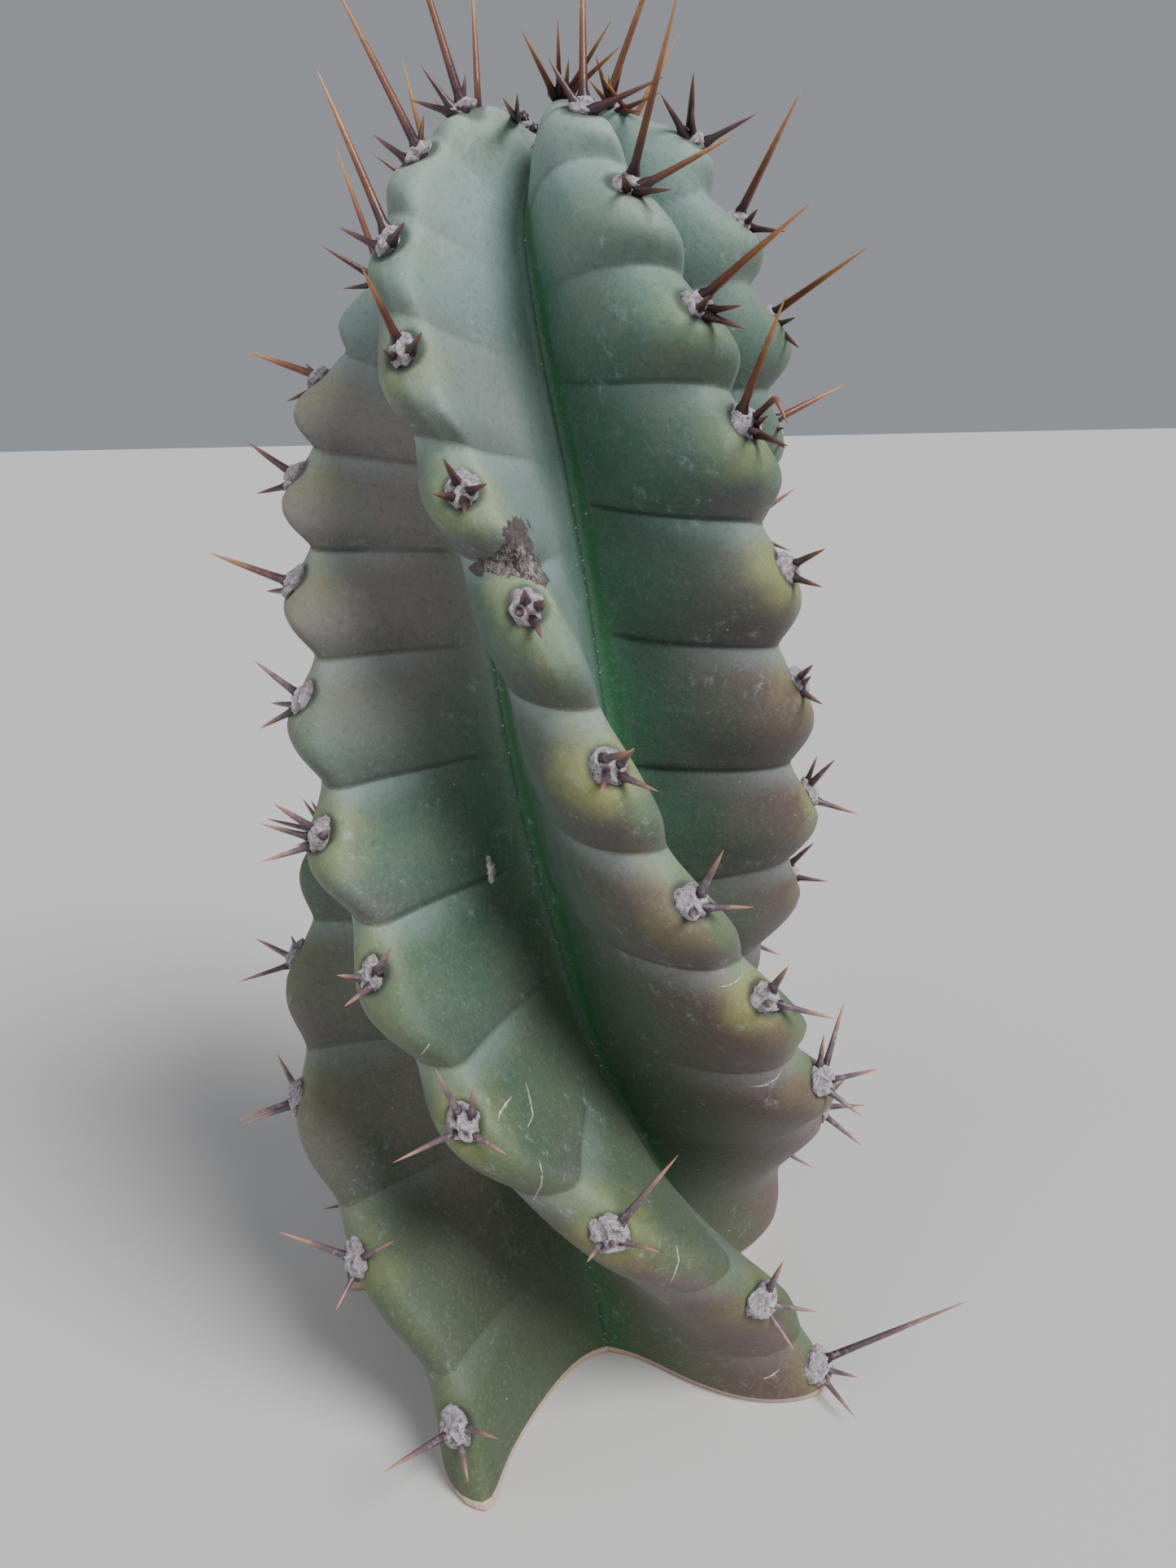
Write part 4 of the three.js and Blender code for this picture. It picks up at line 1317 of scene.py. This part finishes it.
@dataclass
class Armour:
    """The felt cushions and their spines, rib by rib."""

    form: StemForm
    seen: SeenSpines
    pad_half: Numbers = (2.5, 2.85, 1.25)
    segments: int = 36
    rings: int = 20
    lump_paces: Numbers = (1.7, 5.5)
    lumps: Numbers = (0.30, 0.22)
    lump_shift: Numbers = (3.7, 1.9, 0)
    pad_top: Numbers = (-0.1, 0.35)
    collar_radius: float = 1.02
    collar_width: float = 0.30
    collar_rise: float = 0.55
    hole_radius: float = 0.50
    hole_depth: float = 0.15
    hole_edge: Numbers = (0.35, 0.75)
    tuft_rise: float = 0.45
    tuft_middle: float = 0.35
    foot_pads: float = 1.09
    middle_pads: float = 0.87
    top_pads: float = 0.74
    pad_spread: float = 0.05
    foot_levels: Numbers = (30, 90)
    top_levels: Numbers = (150, 190)
    young_levels: Numbers = (90, 165)
    central_length: Table = ((0, 9), (60, 8), (120, 9), (150, 12), (170, 17), (185, 26), (216, 34))
    central_radius: float = 0.58
    central_tilt: float = 12
    tilt_spread: float = 8
    sideways_spread: float = 10
    length_spread: float = 0.15
    side_turn_spread: float = 9
    side_length_spread: float = 0.2
    seeds_per_rib: int = 20
    central_root: float = 0.4
    side_root: float = 1.35
    sunk: float = 1.6
    clearance: float = 0.8
    bend: float = 0.03
    side_spines: tuple[Spine, ...] = (
        Spine(-30, 45, 9, 0.52), Spine(-26, -48, 10, 0.52), Spine(34, 40, 6.5, 0.48),
        Spine(-58, 4, 6.5, 0.45),
    )
    crown_places: Table = ((210,), (209, 212), (210,), (209, 212), (206, 211))
    crown_seed: int = 100
    crown_size: float = 0.5
    crown_radius: float = 0.42
    crown_gold: float = 0.75
    crown_root: float = 0.8
    crown_spread: Numbers = (9, 14, 0.2)
    crown_spines: tuple[Spine, ...] = (
        Spine(25, 5, 13, 0.44), Spine(-20, 30, 9, 0.38), Spine(-10, -38, 10, 0.38), Spine(48, 24, 8, 0.34),
    )
    bulb: Table = ((0.0, 1.40), (0.12, 1.80), (0.20, 1.90), (0.30, 1.20))
    shaft: Table = (
        (0.45, 0.97), (0.62, 0.80), (0.78, 0.55), (0.90, 0.28), (0.97, 0.10), (1.0, 0.0),
    )
    bent_shaft: Table = (
        (0.42, 0.98), (0.52, 0.95), (0.58, 0.97), (0.62, 1.00), (0.66, 0.96), (0.72, 0.88), (0.82, 0.60),
        (0.92, 0.28), (1.0, 0.0),
    )
    bulb_share: float = 0.3
    bulb_long: float = 2.0
    bulb_most: float = 0.35
    aside_from: Numbers = (0.3, 0.2, 1.0)
    slim_share: float = 0.25
    slim_until: float = 14
    golden_lengths: Numbers = (9, 16)
    spine_sides: int = 6

    def pad(self, master: Thing, here: Seat, roots: list[Array], seed: int, size: float) -> Thing:
        """One lumpy felt cushion with a collar round each of its spines.

        Args:
            master: the ball to copy.
            here: where the cushion sits.
            roots: where its spines leave it.
            seed: its number, for its own lumps.
            size: its size as a share of a full one.

        Returns:
            The cushion.
        """
        pad = copy_of(master)
        ball = points_of(pad.data)
        shift = Vector([seed * share for share in self.lump_shift])
        coarse, fine = (np.array([noise.noise(Vector(p) * pace + shift) for p in ball])
                        for pace in self.lump_paces)
        fine = np.abs(fine)
        wide = 1 + self.lumps[0] * coarse + self.lumps[1] * fine
        sizes = np.array(self.pad_half) * size
        local = ball * sizes * np.stack([wide, wide, 1 + self.lumps[0] * coarse], axis=-1)
        top = smoothstep(ball[:, 2], *self.pad_top)
        hollow, ridge = np.zeros(len(ball)), np.zeros(len(ball))
        for root in roots:
            spot = (root - here.origin) @ here.matrix()
            off = np.hypot(local[:, 0] - spot[0], local[:, 1] - spot[1])
            ridge = np.maximum(ridge, hill(off, self.collar_radius, self.collar_width))
            hollow = np.maximum(hollow, hill(off, 0, self.hole_radius))
        ridge = ridge * (1 - smoothstep(hollow, *self.hole_edge)) * top
        rise = self.tuft_rise * (self.tuft_middle - fine) * top + self.collar_rise * ridge
        local[:, 2] += (rise - self.hole_depth * hollow * top) * size
        move_points(pad.data, here.origin + local @ here.matrix().T)
        store(pad.data, hollow=hollow * top, ridge=ridge)
        return pad

    def spine(self, master: Thing, thorn: Thorn, bend: float) -> Thing:
        """One spine along its path.

        Args:
            master: the spine to copy.
            thorn: its path, radius and age.
            bend: how far its tip is bent aside, as a share of its length.

        Returns:
            The spine.
        """
        spine = copy_of(master)
        local = points_of(spine.data)
        x, y, z = local[:, :1], local[:, 1:2], local[:, 2]
        stops = stops_along(thorn.path)
        length = float(stops[-1])
        bulb = min(self.bulb_long, self.bulb_most * length)
        low = z / self.bulb_share * (self.sunk + bulb) - self.sunk
        high = bulb + (z - self.bulb_share) / (1 - self.bulb_share) * (length - bulb)
        reach = np.where(z < self.bulb_share, low, high)
        ways = unit(np.diff(thorn.path, axis=0))
        leg = np.clip(np.searchsorted(stops, reach, side="right") - 1, 0, len(ways) - 1)
        way = ways[leg]
        aside = unit(np.cross(way, np.array(self.aside_from)))
        other = np.cross(way, aside)
        slim = thorn.radius * (1 - self.slim_share + self.slim_share * min(1.0, length / self.slim_until))
        points = thorn.path[leg] + (reach - stops[leg])[:, None] * way
        points = points + (x * aside + y * other) * slim
        move_points(spine.data, points + (bend * length * z**2)[:, None] * other)
        gold = max(thorn.gold, float(smoothstep(length, *self.golden_lengths)))
        ones = np.ones(len(z))
        store(spine.data, along=np.clip(reach / length, 0, 1), age=ones * thorn.age, gold=ones * gold)
        return spine

    def aimed(self, here: Seat, spine: Spine, age: float, spread: float, gold: float = 0.0) -> Thorn:
        """A spine by its tilts, kept clear of the surface that the cutting stands on.

        Args:
            here: where its cushion sits.
            spine: its tilts, length and radius.
            age: its age.
            spread: how far from the cushion's middle it starts.
            gold: how golden it is at least.

        Returns:
            The spine.
        """
        up, side = math.tan(math.radians(spine.up)), math.tan(math.radians(spine.side))
        aim = unit(here.out + here.along * up + here.across * side)
        lowest = (self.clearance - here.origin[2]) / spine.length
        if aim[2] < lowest:
            scale = math.sqrt(1 - lowest**2) / math.hypot(aim[0], aim[1])
            aim = np.array([aim[0] * scale, aim[1] * scale, lowest])
        root = here.origin + (aim - here.out * np.dot(aim, here.out)) * spread
        return Thorn(np.array([root, root + aim * spine.length]), spine.radius, age, gold)

    def hidden(self, seed: int, place: float, here: Seat, age: float) -> list[Thorn]:
        """The spines of a cushion that the photo doesn't show.

        Args:
            seed: the cushion's number.
            place: its distance up the crest.
            here: where it sits.
            age: its age.

        Returns:
            One central spine and the side spines round it.
        """
        usual = float(smooth_at(self.central_length, place))
        length = usual * (1 + self.length_spread * vary(seed, Draw.LENGTH))
        up = self.central_tilt + self.tilt_spread * vary(seed, Draw.UP)
        sideways = self.sideways_spread * vary(seed, Draw.SIDEWAYS)
        central = Spine(up, sideways, length, self.central_radius)
        thorns = [self.aimed(here, central, age, self.central_root)]
        for i, small in enumerate(self.side_spines):
            long = small.length * (1 + self.side_length_spread * vary(seed, i + Draw.SIDE_LENGTH))
            side = small.side + self.side_turn_spread * vary(seed, i + Draw.SIDE_TURN)
            thorns.append(self.aimed(here, Spine(small.up, side, long, small.radius), age, self.side_root))
        return thorns

    def crown(self, seed: float, here: Seat) -> list[Thorn]:
        """The crowded young spines of one small cushion near the growing tip."""
        up, side, long = self.crown_spread
        grown = [Spine(small.up + up * vary(seed, i + Draw.CROWN_UP),
                       small.side + side * vary(seed, i + Draw.CROWN_SIDE),
                       small.length * (1 + long * vary(seed, i + Draw.CROWN_LENGTH)), small.radius)
                 for i, small in enumerate(self.crown_spines)]
        return [self.aimed(here, spine, 0.0, self.crown_root, self.crown_gold) for spine in grown]

    def build(self) -> None:
        """Make a piece of cushions and a piece of spines for each rib."""
        felt, horn = FeltFinish().material(), SpineFinish().material()
        select_none()
        bpy.ops.mesh.primitive_uv_sphere_add(segments=self.segments, ring_count=self.rings, radius=1)
        ball = named(bpy.context.object, "pad_master")
        masters = [drawn_tube("spine_master", self.spine_sides, self.bulb + shaft)
                   for shaft in (self.shaft, self.bent_shaft)]
        for index, rib in enumerate(self.form.ribs):
            pads, spines = [], []
            for number, place in enumerate((*rib.cushions, *self.crown_places[index])):
                here = self.form.seat_at(index, place)
                if number < len(rib.cushions):
                    seed = index * self.seeds_per_rib + number
                    age = float(1 - smoothstep(here.origin[2], *self.young_levels))
                    thorns = self.seen.thorns((index, number), here, self.central_radius, age)
                    thorns = thorns or self.hidden(seed, place, here, age)
                    roots = [thorn.path[0] for thorn in thorns]
                    low = float(1 - smoothstep(place, *self.foot_levels))
                    size = self.middle_pads + (self.foot_pads - self.middle_pads) * low
                    size += self.pad_spread * vary(seed, Draw.SIZE)
                    size += (self.top_pads - self.middle_pads) * float(smoothstep(place, *self.top_levels))
                else:
                    seed, roots, size = int(place), [], self.crown_size
                    thorns = self.seen.thorns((index, number), here, self.crown_radius, 0.0, self.crown_gold)
                    thorns = thorns or self.crown(self.crown_seed + index * self.seeds_per_rib + place, here)
                pads.append(self.pad(ball, here, roots, seed, size))
                for i, thorn in enumerate(thorns):
                    bend = self.bend * vary(seed, i + Draw.BEND)
                    spines.append(self.spine(masters[len(thorn.path) - 2], thorn, bend))
            for copies, name, finish in ((pads, "cushions", felt), (spines, "spines", horn)):
                piece = joined(copies, f"{name}_rib_{index + 1}", finish)
                piece.data.shade_smooth()
                hand_over(piece)
        for master in (ball, *masters):
            removed(master)


@dataclass
class Cracks:
    """Healed cracks and scratches: low beads of cork on the skin, each along a line of the photo."""

    camera: PhotoCamera
    lines: tuple[Mark, ...] = (
        Mark(((831, 1530), (834, 1549), (828, 1568), (823, 1577)), 2.0),
        Mark(((938, 1695), (949, 1690), (958, 1683)), 1.8),
        Mark(((654, 1477), (665, 1457), (666, 1440), (662, 1424)), 1.7),
        Mark(((880, 1214), (896, 1211), (908, 1204), (915, 1194)), 1.6),
        Mark(((922, 1336), (940, 1334), (954, 1326), (961, 1314)), 1.6),
        Mark(((612, 1378), (614, 1368), (622, 1356), (629, 1347)), 2.2),
        Mark(((646, 1330), (650, 1345), (655, 1371), (648, 1386)), 1.7),
        Mark(((599, 1051), (602, 1060), (604, 1072), (603, 1086)), 8.5),
        Mark(((517, 1297), (522, 1291), (528, 1283)), 1.4),
    )
    rings: int = 14
    sides: int = 6
    height: float = 0.5
    end_share: float = 0.15
    end_power: float = 0.6
    wobble: float = 0.2
    wobble_pace: float = 23

    def stations(self, line: Mark, stem: Thing) -> tuple[Array, Array]:
        """Where the stations of a line lie on the skin, in millimetres, and the directions out of it."""
        corners = np.array(line.line, float)
        stops = stops_along(corners)
        wanted = np.linspace(0, stops[-1], self.rings)
        eye = Vector(self.camera.place) * MM
        points, outs = [], []
        for pixel in zip(*(np.interp(wanted, stops, column) for column in corners.T)):
            way = Vector(self.camera.point_at(np.array(pixel), 1)) * MM - eye
            _, point, out, _ = stem.ray_cast(eye, way.normalized())
            points.append(np.array(point) / MM)
            outs.append(np.array(out))
        return np.array(points), np.array(outs)

    def crack(self, master: Thing, line: Mark, stem: Thing) -> Thing:
        """One bead of cork along its line.

        Args:
            master: the tube to copy.
            line: the line in the photo.
            stem: the stem.

        Returns:
            The bead.
        """
        crack = copy_of(master)
        local = points_of(crack.data)
        points, outs = self.stations(line, stem)
        asides = unit(np.cross(outs, unit(np.gradient(points, axis=0))))
        station = np.rint(local[:, 2] * (self.rings - 1)).astype(int)
        shares = np.linspace(0, 1, self.rings)
        _, depths = self.camera.pixel_of(points)
        full = np.sin(np.pi * shares) ** self.end_power
        full = full * (1 - self.wobble * (1 - np.sin(shares * self.wobble_pace)))
        taper = self.end_share + (1 - self.end_share) * full
        wide = (line.wide * depths / self.camera.focal_pixels * taper)[station, None]
        aside = local[:, :1] * asides[station] + self.height * local[:, 1:2] * outs[station]
        move_points(crack.data, points[station] + wide * aside)
        return crack

    def build(self, stem: Thing) -> None:
        """Lay every crack on the stem."""
        bpy.context.view_layer.update()
        rings = tuple((i / (self.rings - 1), 1) for i in range(self.rings))
        master = drawn_tube("crack_master", self.sides, rings)
        cracks = [self.crack(master, line, stem) for line in self.lines]
        hand_over(joined(cracks, "healed_cracks", CorkFinish().material()))
        removed(master)


@dataclass(frozen=True)
class Lamp:
    """A broad, soft light: its name, turn in degrees, strength and how wide it shows, in degrees."""

    name: str
    turn: Numbers
    strength: float
    spread: float

    def build(self) -> None:
        """Hang the lamp."""
        data = bpy.data.lights.new(self.name, "SUN")
        data.energy = self.strength
        data.angle = math.radians(self.spread)
        lamp = bpy.data.objects.new(self.name, data)
        bpy.context.scene.collection.objects.link(lamp)
        lamp.rotation_euler = [math.radians(angle) for angle in self.turn]


@dataclass
class Studio:
    """Plain pale floor and soft lights."""

    floor_half: float = 4.0
    floor_colour: Colour = (0.52, 0.51, 0.50)
    floor_roughness: float = 0.75
    lamps: tuple[Lamp, ...] = (Lamp("key", (42, 0, 50), 4.4, 28), Lamp("fill", (62, 0, -50), 0.95, 60))
    world_colour: Colour = (0.88, 0.92, 1.0)
    world_strength: float = 0.33

    def build(self) -> None:
        """Lay the floor, hang the lamps and light the scene softly from all round."""
        select_none()
        bpy.ops.mesh.primitive_plane_add(size=2 * self.floor_half)
        floor = named(bpy.context.object, "floor")
        pale = NodeBoard("pale_floor").finish(Base_Color=self.floor_colour, Roughness=self.floor_roughness)
        floor.data.materials.append(pale)
        for lamp in self.lamps:
            lamp.build()
        world = bpy.data.worlds.new("studio_air")
        world.use_nodes = True
        background = world.node_tree.nodes["Background"]
        background.inputs["Color"].default_value = (*self.world_colour, 1.0)
        background.inputs["Strength"].default_value = self.world_strength
        bpy.context.scene.world = world


def main() -> None:
    """Build the camera, the studio, the stem and its armour in order."""
    camera = PhotoCamera()
    camera.build()
    Studio().build()
    form = StemForm()
    stem = Stem(form, camera).build()
    hand_over(stem)
    Cracks(camera).build(stem)
    Armour(form, SeenSpines(camera)).build()


if __name__ == "__main__":
    main()
